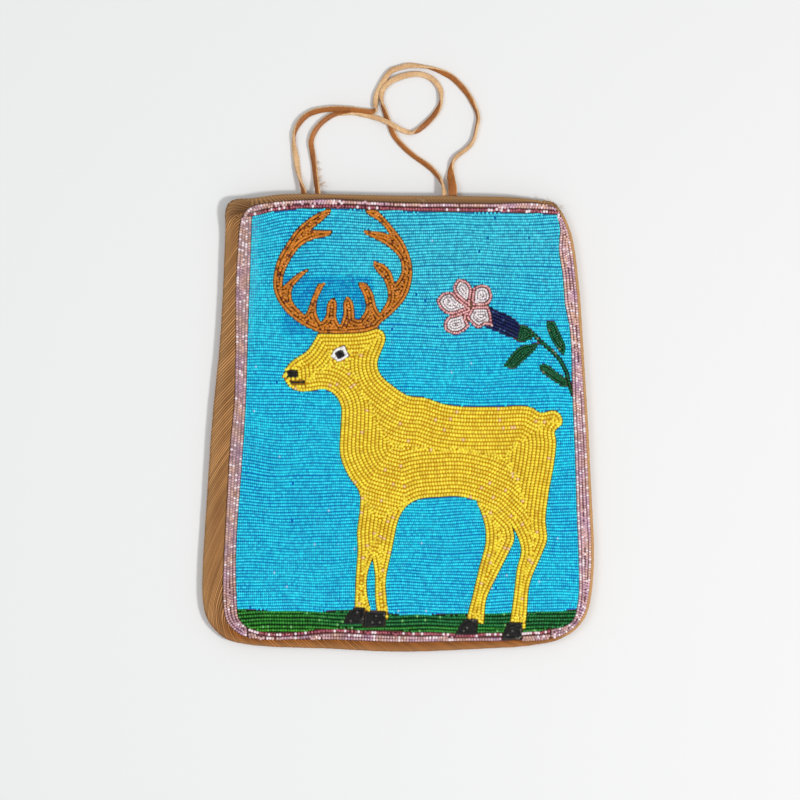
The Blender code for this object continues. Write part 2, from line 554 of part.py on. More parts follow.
class Relief:
    """The points, edges and faces of one sewn area, from its outlines and its rows."""

    def __init__(self, loops):
        self.loops = loops
        self.points = []
        self.heights = []
        self.edges = []
        self.walls = []

    def add_ring(self, points, height):
        """Adds a closed line of points that all have one height."""
        first = len(self.points)
        self.points += list(points)
        self.heights += [height] * len(points)
        self.edges += ring_edges(first, len(points))
        return first

    def lay_level_rows(self, ridge):
        """Lays straight rows from side to side, their lines half a ridge apart."""
        crossings = {}
        self.loops = [off_the_rows(loop, ridge / 2) for loop in self.loops]
        for loop in self.loops:
            first = len(self.points)
            wall = []
            for point, on_row in split_at_rows(loop, ridge / 2):
                index = len(self.points)
                if on_row:
                    crossings.setdefault(round(point[1] / (ridge / 2)), []).append((point[0], index))
                else:
                    wall.append(index)
                self.points.append(point)
                self.heights.append(row_height(point[1], ridge))
            self.edges += ring_edges(first, len(self.points) - first)
            self.walls.append((first, len(self.points), wall))
        for places in crossings.values():
            places.sort()
            for (_, left), (_, right) in zip(places[0::2], places[1::2]):
                self.edges.append((left, right))

    def lay_contour_rows(self, grid, depth, ridge):
        """Lays rows that follow the outline, each one a ridge further in."""
        for loop in self.loops:
            first = self.add_ring(loop, BEAD_HEIGHT - GROOVE_DEPTH)
            self.walls.append((first, first + len(loop), list(range(first, first + len(loop)))))
        level = min(ridge / 2, float(depth.max()) * NARROW_ROW_SHARE)
        high = True
        while level < depth.max():
            height = BEAD_HEIGHT if high else BEAD_HEIGHT - GROOVE_DEPTH
            for loop in grid.outlines(depth, level, min(ROW_TOLERANCE, level / 4)):
                if is_inside(loop[0], self.loops):
                    self.add_ring(loop, height)
            level += ridge / 2
            high = not high

    def solid(self, name):
        """Makes the closed mesh: the rows above, a flat underside and upright walls."""
        work = bmesh.new()
        top = [
            work.verts.new((x, y, BEAD_BOTTOM + height))
            for (x, y), height in zip(self.points, self.heights)
        ]
        rim = sum(last - first for first, last, _ in self.walls)
        for face in triangles(self.points, self.edges, rim, self.loops):
            work.faces.new([top[corner] for corner in face])
        low, order, edges = {}, [], []
        for first, last, corners in self.walls:
            edges += ring_edges(len(order), len(corners))
            order += corners
            for corner in corners:
                x, y = self.points[corner]
                low[corner] = work.verts.new((x, y, BEAD_BOTTOM))
            for here, there in zip(corners, corners[1:] + corners[:1]):
                stop = there if there > here else last
                run = list(range(here, stop)) + [there]
                work.faces.new([low[here], low[there]] + [top[index] for index in reversed(run)])
        flat = [self.points[corner] for corner in order]
        for face in triangles(flat, edges, len(edges), self.loops):
            work.faces.new([low[order[corner]] for corner in reversed(face)])
        loose = [vertex for vertex in work.verts if not vertex.link_faces]
        bmesh.ops.delete(work, geom=loose, context="VERTS")
        mesh = bpy.data.meshes.new(name)
        work.to_mesh(mesh)
        work.free()
        return mesh


def rounded_block(name, grid, depth, low, high, radius):
    """Makes an upright solid whose upper and lower edges are rounded inwards."""
    points, rises, edges = [], [], []
    rim_loops = grid.outlines(depth, 0.0, OUTLINE_TOLERANCE)
    for turn in ROUNDING_TURNS:
        inset = radius * (1 - math.cos(turn))
        loops = rim_loops if turn == 0.0 else grid.outlines(depth, inset, ROW_TOLERANCE)
        for loop in loops:
            edges += ring_edges(len(points), len(loop))
            points += list(loop)
            rises += [radius * math.sin(turn)] * len(loop)
    rim = sum(len(loop) for loop in rim_loops)
    work = bmesh.new()
    upper = [work.verts.new((x, y, high - radius + rise)) for (x, y), rise in zip(points, rises)]
    lower = [work.verts.new((x, y, low + radius - rise)) for (x, y), rise in zip(points, rises)]
    for face in triangles(points, edges, rim, rim_loops):
        work.faces.new([upper[corner] for corner in face])
        work.faces.new([lower[corner] for corner in reversed(face)])
    for here, there in edges[:rim]:
        work.faces.new([lower[here], lower[there], upper[there], upper[here]])
    mesh = bpy.data.meshes.new(name)
    work.to_mesh(mesh)
    work.free()
    return mesh


class Bag:
    """The bag's areas and the collections that its pieces go in."""

    def __init__(self):
        self.pieces = self.new_collection("beaded_bag")
        self.cutters = self.new_collection("cutters")
        self.grid = Grid(margin=0.008)
        self.edge = fitted(smooth_outline(on_chart(BAG_CHART)))
        self.inside = self.grid.depth(self.edge)
        inset = CLOTH_THICKNESS + 2 * SEAM_GAP
        beaded = self.grid.depth(smooth_outline(on_chart(BEADED_CHART)))
        self.beaded = np.minimum(beaded, self.inside - inset)
        self.field = self.grid.depth(smooth_outline(on_chart(FIELD_CHART)))
        self.taken = np.full(self.inside.shape, -self.grid.far)

    @staticmethod
    def new_collection(name):
        """Adds an empty collection to the scene."""
        made = bpy.data.collections.new(name)
        bpy.context.scene.collection.children.link(made)
        return made

    def add(self, name, mesh, colour, roughness):
        """Puts a mesh into the scene as a finished piece."""
        piece = bpy.data.objects.new(name, mesh)
        mesh.materials.append(material(colour, roughness))
        self.pieces.objects.link(piece)
        return piece

    def free_part(self, depth):
        """Cuts an area back to what earlier areas and the edge of the beadwork leave free."""
        return np.minimum(np.minimum(depth, self.beaded), -self.taken - SEAM_GAP)

    def sew(self, name, depth, colour, ridge, level_rows=False):
        """Sews one area of beads, and marks it as taken."""
        free = self.free_part(depth)
        self.taken = np.maximum(self.taken, np.minimum(depth, self.beaded))
        areas = areas_with_holes(self.grid.outlines(free, 0.0, OUTLINE_TOLERANCE))
        areas.sort(key=lambda loops: float(loops[0][:, 0].min()))
        for index, loops in enumerate(areas):
            place = f"_{index + 1}" if len(areas) > 1 else ""
            self.relief(name + place, loops, free, colour, ridge, level_rows)

    def relief(self, name, loops, depth, colour, ridge, level_rows):
        """Makes the solid of one sewn area."""
        sewn = Relief(loops)
        if level_rows:
            sewn.lay_level_rows(ridge)
        else:
            sewn.lay_contour_rows(self.grid, depth, ridge)
        self.add(name, sewn.solid(name), colour, BEAD_ROUGHNESS)

    def prism(self, name, loops, low, high):
        """Makes an upright solid from outlines."""
        curve = bpy.data.curves.new(name, "CURVE")
        curve.dimensions = "2D"
        curve.fill_mode = "BOTH"
        curve.extrude = (high - low) / 2
        for loop in loops:
            spline = curve.splines.new("POLY")
            spline.points.add(len(loop) - 1)
            for place, (x, y) in zip(spline.points, loop):
                place.co = (x, y, 0.0, 1.0)
            spline.use_cyclic_u = True
        holder = bpy.data.objects.new(name + "_outline", curve)
        self.cutters.objects.link(holder)
        bpy.context.view_layer.update()
        mesh = bpy.data.meshes.new_from_object(
            holder.evaluated_get(bpy.context.evaluated_depsgraph_get())
        )
        bpy.data.objects.remove(holder)
        bpy.data.curves.remove(curve)
        work = bmesh.new()
        work.from_mesh(mesh)
        bmesh.ops.remove_doubles(work, verts=work.verts, dist=1e-6)
        bmesh.ops.translate(work, verts=work.verts, vec=(0.0, 0.0, (low + high) / 2))
        bmesh.ops.recalc_face_normals(work, faces=work.faces)
        work.to_mesh(mesh)
        work.free()
        mesh.name = name
        return mesh

    def cut(self, piece, name, depth, low, high):
        """Cuts an upright hole through a piece, where the depth is above zero."""
        loops = self.grid.outlines(depth, 0.0, OUTLINE_TOLERANCE)
        cutter = bpy.data.objects.new(name, self.prism(name, loops, low, high))
        self.cutters.objects.link(cutter)
        cutter.hide_render = True
        cutter.display_type = "WIRE"
        boolean = piece.modifiers.new(name, "BOOLEAN")
        boolean.operation = "DIFFERENCE"
        boolean.object = cutter


def mouth_column(bag, inset):
    """Gives the depth in a column that carries the bag's two sides on past the mouth."""
    left = bag.grid.right_of(MOUTH_LEFT) - inset
    right = -bag.grid.right_of(MOUTH_RIGHT) - inset
    return np.minimum(np.minimum(left, right), bag.grid.above(MOUTH_LOW))


def hem_depth(bag):
    """Gives the area of the hem: the strip of the front between the beads and the mouth edge."""
    strip = np.minimum(bag.inside, -bag.beaded - SEAM_GAP)
    sides = np.minimum(bag.grid.right_of(HEM_LEFT), -bag.grid.right_of(HEM_RIGHT))
    return np.minimum(np.minimum(strip, sides), bag.grid.above(HEM_LOW))


def build_cloth(bag):
    """The back, folded round three edges on to the front, with the pocket open at the mouth."""
    grid = bag.grid
    block = np.maximum(bag.inside, np.minimum(mouth_column(bag, 0.0), -grid.above(MOUTH_SPARE)))
    mesh = rounded_block("cloth_body", grid, block, 0.0, FOLD_TOP, CLOTH_EDGE_RADIUS)
    piece = bag.add("cloth_body", mesh, "cloth", CLOTH_ROUGHNESS)

    pocket = np.maximum(bag.inside - CLOTH_THICKNESS, mouth_column(bag, CLOTH_THICKNESS))
    bag.cut(piece, "pocket_cutter", pocket, POCKET_FLOOR, BEAD_BOTTOM)

    window = np.minimum(
        np.maximum(bag.beaded, hem_depth(bag)) + SEAM_GAP, bag.inside - CLOTH_THICKNESS - SEAM_GAP
    )
    window = np.maximum(window, np.minimum(hem_depth(bag) + SEAM_GAP, grid.above(HEM_LOW)))
    bag.cut(piece, "window_cutter", window, BEAD_BOTTOM - SEAM_GAP / 2, FOLD_TOP + CLOTH_EDGE_RADIUS)

    beyond = np.minimum(-bag.inside, grid.above(MOUTH_LOW))
    bag.cut(piece, "mouth_cutter", beyond, -CLOTH_EDGE_RADIUS, FOLD_TOP + CLOTH_EDGE_RADIUS)


def build_hem(bag):
    """The hem: a strip of cloth folded over the canvas's edge at the mouth."""
    outline = bag.grid.outlines(hem_depth(bag), 0.0, OUTLINE_TOLERANCE)
    mesh = bag.prism("mouth_hem", outline, HEM_BOTTOM, FOLD_TOP)
    piece = bag.add("mouth_hem", mesh, "cloth", CLOTH_ROUGHNESS)
    slot = np.minimum(bag.inside - FOLD_THICKNESS, bag.grid.above(MOUTH_LOW))
    bag.cut(piece, "hem_slot_cutter", slot, CANVAS_BOTTOM - SEAM_GAP, BEAD_BOTTOM)


def build_canvas(bag):
    """The canvas that the beads are sewn on, held in the fold of the cloth."""
    outline = bag.grid.outlines(bag.inside, CLOTH_THICKNESS + SEAM_GAP, OUTLINE_TOLERANCE)
    mesh = bag.prism("canvas_front", outline, CANVAS_BOTTOM, CANVAS_BOTTOM + CANVAS_THICKNESS)
    bag.add("canvas_front", mesh, "canvas", CLOTH_ROUGHNESS)


def drawn(bag, chart):
    """Gives the depth inside an outline drawn on the chart."""
    return bag.grid.depth(smooth_outline(on_chart(chart)))


def sew_elk(bag):
    """The elk: eye, nose, mouth and hooves first, then the body and the antlers round them."""
    bag.sew("elk_pupil", drawn(bag, PUPIL_CHART), "black", FIGURE_RIDGE)
    bag.sew("elk_eye_ring", drawn(bag, EYE_RING_CHART), "white", FIGURE_RIDGE)
    bag.sew("elk_nose", drawn(bag, NOSE_CHART), "black", FIGURE_RIDGE)
    bag.sew("elk_mouth", drawn(bag, MOUTH_CHART), "black", FIGURE_RIDGE)
    for name, chart in HOOF_CHARTS.items():
        bag.sew("elk_" + name, drawn(bag, chart), "black", FIGURE_RIDGE)
    bag.sew("elk_body", drawn(bag, ELK_CHART), "elk", FIGURE_RIDGE)
    antlers = np.minimum(drawn(bag, ANTLERS_CHART), bag.field)
    bag.sew("elk_antlers", antlers, "antlers", FIGURE_RIDGE)


def sew_flower(bag):
    """The flower sprig: five edged petals, tube, calyx, three leaves and the stem."""
    for name, chart in PETAL_CHARTS.items():
        depth = bag.free_part(drawn(bag, chart))
        bag.sew(name, depth - OUTLINE_ROW_WIDTH - SEAM_GAP, "petal", FIGURE_RIDGE)
        bag.sew(name + "_edge", depth, "plum", FIGURE_RIDGE)
    bag.sew("flower_tube", drawn(bag, FLOWER_TUBE_CHART), "navy", FIGURE_RIDGE)
    bag.sew("flower_calyx", drawn(bag, CALYX_CHART), "leaf", FIGURE_RIDGE)
    for name, chart in LEAF_CHARTS.items():
        bag.sew(name, drawn(bag, chart), "leaf", FIGURE_RIDGE)
    middle = on_chart(STEM_CHART)
    there_and_back = np.concatenate([middle, middle[-2:0:-1]])
    stem = STEM_WIDTH / 2 - np.abs(bag.grid.depth(there_and_back))
    bag.sew("flower_stem", np.minimum(stem, bag.field), "leaf", FIGURE_RIDGE)


def sew_border(bag):
    """The border: two rows above and below the picture, and upright rows on its sides."""
    grid = bag.grid
    outward = -bag.field - SEAM_GAP
    top = grid.above(TOP_ROWS_LOW)
    sides = np.minimum(grid.right_of(BOTTOM_ROWS_LEFT), -grid.right_of(BOTTOM_ROWS_RIGHT))
    bottom = np.minimum(sides, -grid.above(BOTTOM_ROWS_HIGH))
    near = np.minimum(outward, BORDER_ROW_PITCH - outward)
    for name, part in (("top", top), ("bottom", bottom)):
        bag.sew(f"border_{name}_inner", np.minimum(part, near), "plum", BORDER_RIDGE)
        bag.sew(f"border_{name}_outer", np.minimum(part, outward), "pink", BORDER_RIDGE)
    left = np.minimum(outward, -grid.right_of(0.0))
    right = np.minimum(outward, grid.right_of(0.0))
    bag.sew("border_left", left, "pink", BORDER_RIDGE)
    bag.sew("border_right", right, "pink", BORDER_RIDGE)


def sew_sky(bag):
    """The sky: what the figures, the grass and the border leave free, in six areas."""
    free = bag.free_part(bag.field)
    found = {name: [] for name in SKY_SEEDS}
    for area_loops in areas_with_holes(bag.grid.outlines(free, 0.0, OUTLINE_TOLERANCE)):
        for name, seed in SKY_SEEDS.items():
            if is_inside(on_chart(seed), area_loops):
                found[name] += area_loops
    for name, loops in found.items():
        bag.relief(name, loops, free, "sky", FIELD_RIDGE, True)


def along(route, count):
    """Gives points at even steps along a smooth curve through a route's own points."""
    places = np.array(route)
    padded = np.vstack([2 * places[0] - places[1], places, 2 * places[-1] - places[-2]])
    fine = []
    for before, start, end, after in zip(padded, padded[1:], padded[2:], padded[3:]):
        for t in np.linspace(0.0, 1.0, ROUTE_STEPS, endpoint=False):
            fine.append(
                start + (end - before) / 2 * t
                + (before - 2.5 * start + 2 * end - after / 2) * t**2
                + (1.5 * start - before / 2 - 1.5 * end + after / 2) * t**3
            )
    fine = np.array(fine + [places[-1]])
    run = np.concatenate([[0.0], np.cumsum(np.linalg.norm(np.diff(fine, axis=0), axis=1))])
    even = np.linspace(0.0, run[-1], count)
    return np.stack([np.interp(even, run, line) for line in fine.T], axis=1)


def build_handle(bag, name, route):
    """One handle: a flat thong that lies loose, with both ends inside the mouth."""
    curve = bpy.data.curves.new(name, "CURVE")
    curve.dimensions = "3D"
    curve.twist_mode = "Z_UP"
    curve.bevel_depth = HANDLE_THICKNESS / 2
    curve.extrude = (HANDLE_WIDTH - HANDLE_THICKNESS) / 2
    curve.bevel_resolution = 2
    curve.use_fill_caps = True
    points = along(route, HANDLE_POINTS)
    spline = curve.splines.new("POLY")
    spline.points.add(len(points) - 1)
    for place, (x, y, z) in zip(spline.points, points):
        place.co = (x, y, z, 1.0)
        place.tilt = math.pi / 2
    piece = bpy.data.objects.new(name, curve)
    curve.materials.append(material("leather", LEATHER_ROUGHNESS))
    bag.pieces.objects.link(piece)


def main():
    """Builds the whole bag."""
    clear_scene()
    bag = Bag()
    build_cloth(bag)
    build_hem(bag)
    build_canvas(bag)
    sew_elk(bag)
    sew_flower(bag)
    bag.sew("grass", np.minimum(drawn(bag, GRASS_CHART), bag.field), "grass", FIELD_RIDGE, True)
    sew_border(bag)
    sew_sky(bag)
    build_handle(bag, "handle_outer", OUTER_ROUTE)
    build_handle(bag, "handle_inner", INNER_ROUTE)


main()
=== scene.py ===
"""The looks of a flat bag with a front of glass seed beads, ribbed brown cloth and two leather handles.

The bag lies on its back: +X is its right side as it is looked at, +Y is the side of its mouth and
its handles, and +Z points up out of the beads. All sizes are in metres. The areas of beadwork, the
edge of the bag and the mouth are read from the frame, and every bead is laid on them here.
"""

from __future__ import annotations

import logging
import math
from dataclasses import dataclass
from enum import Enum

import bpy
import numpy as np
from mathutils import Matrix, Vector
from mathutils.geometry import delaunay_2d_cdt


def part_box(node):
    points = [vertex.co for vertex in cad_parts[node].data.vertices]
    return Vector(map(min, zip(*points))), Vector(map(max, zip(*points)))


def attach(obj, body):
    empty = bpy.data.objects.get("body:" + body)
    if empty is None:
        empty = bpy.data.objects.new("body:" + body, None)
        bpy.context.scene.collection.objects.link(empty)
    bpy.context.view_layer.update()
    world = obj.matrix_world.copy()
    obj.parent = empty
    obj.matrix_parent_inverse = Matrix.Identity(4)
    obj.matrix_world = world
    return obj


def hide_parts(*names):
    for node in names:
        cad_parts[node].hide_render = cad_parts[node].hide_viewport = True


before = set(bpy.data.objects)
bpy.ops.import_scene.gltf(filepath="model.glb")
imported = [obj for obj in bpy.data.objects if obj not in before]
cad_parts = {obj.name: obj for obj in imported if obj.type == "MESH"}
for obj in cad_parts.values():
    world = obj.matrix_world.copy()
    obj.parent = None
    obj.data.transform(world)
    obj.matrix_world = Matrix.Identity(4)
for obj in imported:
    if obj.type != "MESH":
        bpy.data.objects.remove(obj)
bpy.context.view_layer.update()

BODY = "root"
LOG = logging.getLogger("beaded_bag")

Colour = tuple[float, float, float]


def srgb(red: int, green: int, blue: int) -> Colour:
    """Turns a colour as a screen shows it into the linear colour that a shader takes.

    Args:
        red: The red part, from 0 to 255.
        green: The green part.
        blue: The blue part.

    Returns:
        The three linear parts, from 0 to 1.
    """
    parts = [part / 255.0 for part in (red, green, blue)]
    return tuple(part / 12.92 if part <= 0.04045 else ((part + 0.055) / 1.055) ** 2.4 for part in parts)


def smoothstep(share: np.ndarray) -> np.ndarray:
    """Eases a share between 0 and 1 in and out.

    Args:
        share: Any numbers; those outside 0 to 1 are held at the ends.

    Returns:
        The eased numbers.
    """
    held = np.clip(share, 0.0, 1.0)
    return held * held * (3.0 - 2.0 * held)


# Flat areas and outlines


def closed_sides(loop: np.ndarray) -> tuple[np.ndarray, np.ndarray]:
    """Gives the starts and the ends of a closed outline's sides.

    Args:
        loop: The outline's points, one row each.

    Returns:
        The starts and the ends.
    """
    return loop, np.roll(loop, -1, axis=0)


def distance_to(points: np.ndarray, starts: np.ndarray, ends: np.ndarray) -> np.ndarray:
    """Measures how far each point lies from the nearest of some straight sides.

    Args:
        points: The points, one row each.
        starts: Where the sides start.
        ends: Where the sides end.

    Returns:
        One distance for each point.
    """
    nearest = np.full(len(points), np.inf)
    for start, end in zip(starts, ends):
        side = end - start
        share = np.clip((points - start) @ side / max(float(side @ side), 1e-18), 0.0, 1.0)
        apart = points - start - share[:, None] * side
        np.minimum(nearest, np.einsum("ij,ij->i", apart, apart), out=nearest)
    return np.sqrt(nearest)


def headings_of(points: np.ndarray, starts: np.ndarray, ends: np.ndarray) -> np.ndarray:
    """Gives the direction of the side that lies nearest to each point.

    Args:
        points: The points, one row each.
        starts: Where the sides start.
        ends: Where the sides end.

    Returns:
        One direction of length one for each point.
    """
    nearest = np.full(len(points), np.inf)
    found = np.tile([1.0, 0.0], (len(points), 1))
    for start, end in zip(starts, ends):
        size = float(np.linalg.norm(end - start))
        away = distance_to(points, [start], [end])
        closer = (away < nearest) & (size > 1e-6)
        nearest[closer] = away[closer]
        found[closer] = (end - start) / max(size, 1e-9)
    return found


def turned(points: np.ndarray, turn: float) -> np.ndarray:
    """Turns flat points about the origin.

    Args:
        points: The points, one row each.
        turn: The turn, as an angle.

    Returns:
        The turned points.
    """
    along = np.array([math.cos(turn), math.sin(turn)])
    return points[:, :1] * along + points[:, 1:] * np.array([-along[1], along[0]])


def evenly(line: np.ndarray, count: int, closed: bool) -> np.ndarray:
    """Places points at even steps along a line.

    Args:
        line: The line's own points.
        count: How many points to place.
        closed: Whether the line returns to its start.

    Returns:
        The even points.
    """
    path = np.vstack([line, line[:1]]) if closed else line
    run = np.concatenate([[0.0], np.cumsum(np.linalg.norm(np.diff(path, axis=0), axis=1))])
    steps = np.linspace(0.0, run[-1], count, endpoint=not closed)
    return np.stack([np.interp(steps, run, part) for part in path.T], axis=1)


def line_length(line: np.ndarray, closed: bool) -> float:
    """Measures a line.

    Args:
        line: The line's points.
        closed: Whether the line returns to its start.

    Returns:
        Its length.
    """
    path = np.vstack([line, line[:1]]) if closed else line
    return float(np.linalg.norm(np.diff(path, axis=0), axis=1).sum())


def mesh_points(node: str) -> np.ndarray:
    """Reads the points of a node of the frame.

    Args:
        node: The node's name.

    Returns:
        One row of three numbers for each point.
    """
    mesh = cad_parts[node].data
    flat = np.empty(len(mesh.vertices) * 3)
    mesh.vertices.foreach_get("co", flat)
    return flat.reshape(-1, 3)


class Area:
    """A flat area, held as closed outlines: an outer one and any holes."""

    def __init__(self, loops: list[np.ndarray]) -> None:
        """Keeps the outlines.

        Args:
            loops: The closed outlines.
        """
        self.loops = loops
        self.low = np.min([loop.min(axis=0) for loop in loops], axis=0)
        self.high = np.max([loop.max(axis=0) for loop in loops], axis=0)

    @classmethod
    def under(cls, node: str) -> Area:
        """Reads the area that a node's flat underside covers.

        Args:
            node: The node's name.

        Returns:
            The area.
        """
        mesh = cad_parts[node].data
        mesh.calc_loop_triangles()
        corners = np.empty(len(mesh.loop_triangles) * 3, dtype=np.int64)
        mesh.loop_triangles.foreach_get("vertices", corners)
        corners = corners.reshape(-1, 3)
        points = mesh_points(node)
        low = points[:, 2] < points[:, 2].min() + 1e-5
        flat = corners[low[corners].all(axis=1)]
        keys = np.round(points[:, :2] * 1e6).astype(np.int64)
        places, same = np.unique(keys, axis=0, return_inverse=True)
        same = same.reshape(-1)
        sides = {
            (int(same[face[turn]]), int(same[face[(turn + 1) % 3]])) for face in flat for turn in range(3)
        }
        follows = {start: end for start, end in sides if (end, start) not in sides and start != end}
        loops = []
        while follows:
            first, place = follows.popitem()
            loop = [first]
            while place != first and place in follows:
                loop.append(place)
                place = follows.pop(place)
            loops.append(places[loop] * 1e-6)
        return cls(loops)

    def sides(self) -> tuple[np.ndarray, np.ndarray]:
        """Gives the starts and the ends of all the sides."""
        pairs = [closed_sides(loop) for loop in self.loops]
        return np.vstack([pair[0] for pair in pairs]), np.vstack([pair[1] for pair in pairs])

    def holds(self, points: np.ndarray) -> np.ndarray:
        """Says which points lie inside.

        Args:
            points: The points to test.

        Returns:
            One truth value for each point.
        """
        inside = np.zeros(len(points), dtype=bool)
        for start, end in zip(*self.sides()):
            if start[1] != end[1]:
                spans = (start[1] > points[:, 1]) != (end[1] > points[:, 1])
                at = start[0] + (points[:, 1] - start[1]) * (end[0] - start[0]) / (end[1] - start[1])
                inside ^= spans & (points[:, 0] < at)
        return inside

    def drawn_in(self, inset: float, step: float) -> Area:
        """Gives a slightly smaller area with even outlines.

        Args:
            inset: How much smaller it is on every side.
            step: The length of its sides.

        Returns:
            The smaller area.
        """
        loops = []
        for loop in self.loops:
            even = evenly(loop, max(6, round(line_length(loop, True) / step)), True)
            along = np.roll(even, -1, axis=0) - np.roll(even, 1, axis=0)
            inward = np.stack([along[:, 1], -along[:, 0]], axis=1)
            loops.append(even + inward / np.linalg.norm(inward, axis=1, keepdims=True) * inset)
        return Area(loops)

    def filled(self, step: float) -> tuple[np.ndarray, np.ndarray]:
        """Fills the area with triangles.

        Args:
            step: The distance between the points inside.

        Returns:
            The points and the triangles.
        """
        places = [np.arange(low + step / 2, high, step) for low, high in zip(self.low, self.high)]
        inner = np.stack(np.meshgrid(*places), axis=-1).reshape(-1, 2)
        inner = inner[self.holds(inner)]
        inner = inner[distance_to(inner, *self.sides()) > step / 5]
        sides, first = [], 0
        for loop in self.loops:
            sides += [(first + place, first + (place + 1) % len(loop)) for place in range(len(loop))]
            first += len(loop)
        every = [Vector(point) for point in np.vstack([*self.loops, inner])]
        made = delaunay_2d_cdt(every, sides, [], 0, 1e-7)
        points, faces = np.array([tuple(point) for point in made[0]]), np.array(made[2])
        faces = faces[self.holds(points[faces].mean(axis=1))]
        used, renamed = np.unique(faces, return_inverse=True)
        return points[used], renamed.reshape(-1, 3)


def envelope(nodes: list[str], turns: np.ndarray) -> np.ndarray:
    """Measures how far some nodes reach from the middle of the bag, seen from above.

    Args:
        nodes: The nodes' names.
        turns: The directions to look in, as angles.

    Returns:
        The reach in each direction.
    """
    reach = np.zeros(len(turns))
    rays = np.stack([np.cos(turns), np.sin(turns)], axis=1)
    for node in nodes:
        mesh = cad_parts[node].data
        points = mesh_points(node)[:, :2]
        ends = np.empty(len(mesh.edges) * 2, dtype=np.int64)
        mesh.edges.foreach_get("vertices", ends)
        for first, second in ends.reshape(-1, 2):
            start = points[first]
            side = points[second] - start
            across = rays[:, 0] * side[1] - rays[:, 1] * side[0]
            across = np.where(np.abs(across) < 1e-12, np.nan, across)
            along = (start[0] * side[1] - start[1] * side[0]) / across
            share = (start[0] * rays[:, 1] - start[1] * rays[:, 0]) / across
            hit = (share >= -1e-6) & (share <= 1.0 + 1e-6) & (along > reach)
            reach = np.where(hit, along, reach)
    return reach


# For each set of corners that lie inside, which edge of a grid cell a line leaves from and reaches.
# The edges are the low one, the right one, the high one and the left one.
CELL_LINES = {
    1: [(0, 3)], 2: [(1, 0)], 3: [(1, 3)], 4: [(2, 1)], 5: [(0, 3), (2, 1)], 6: [(2, 0)],
    7: [(2, 3)], 8: [(3, 2)], 9: [(0, 2)], 10: [(1, 0), (3, 2)], 11: [(1, 2)], 12: [(3, 1)],
    13: [(0, 1)], 14: [(3, 0)],
}


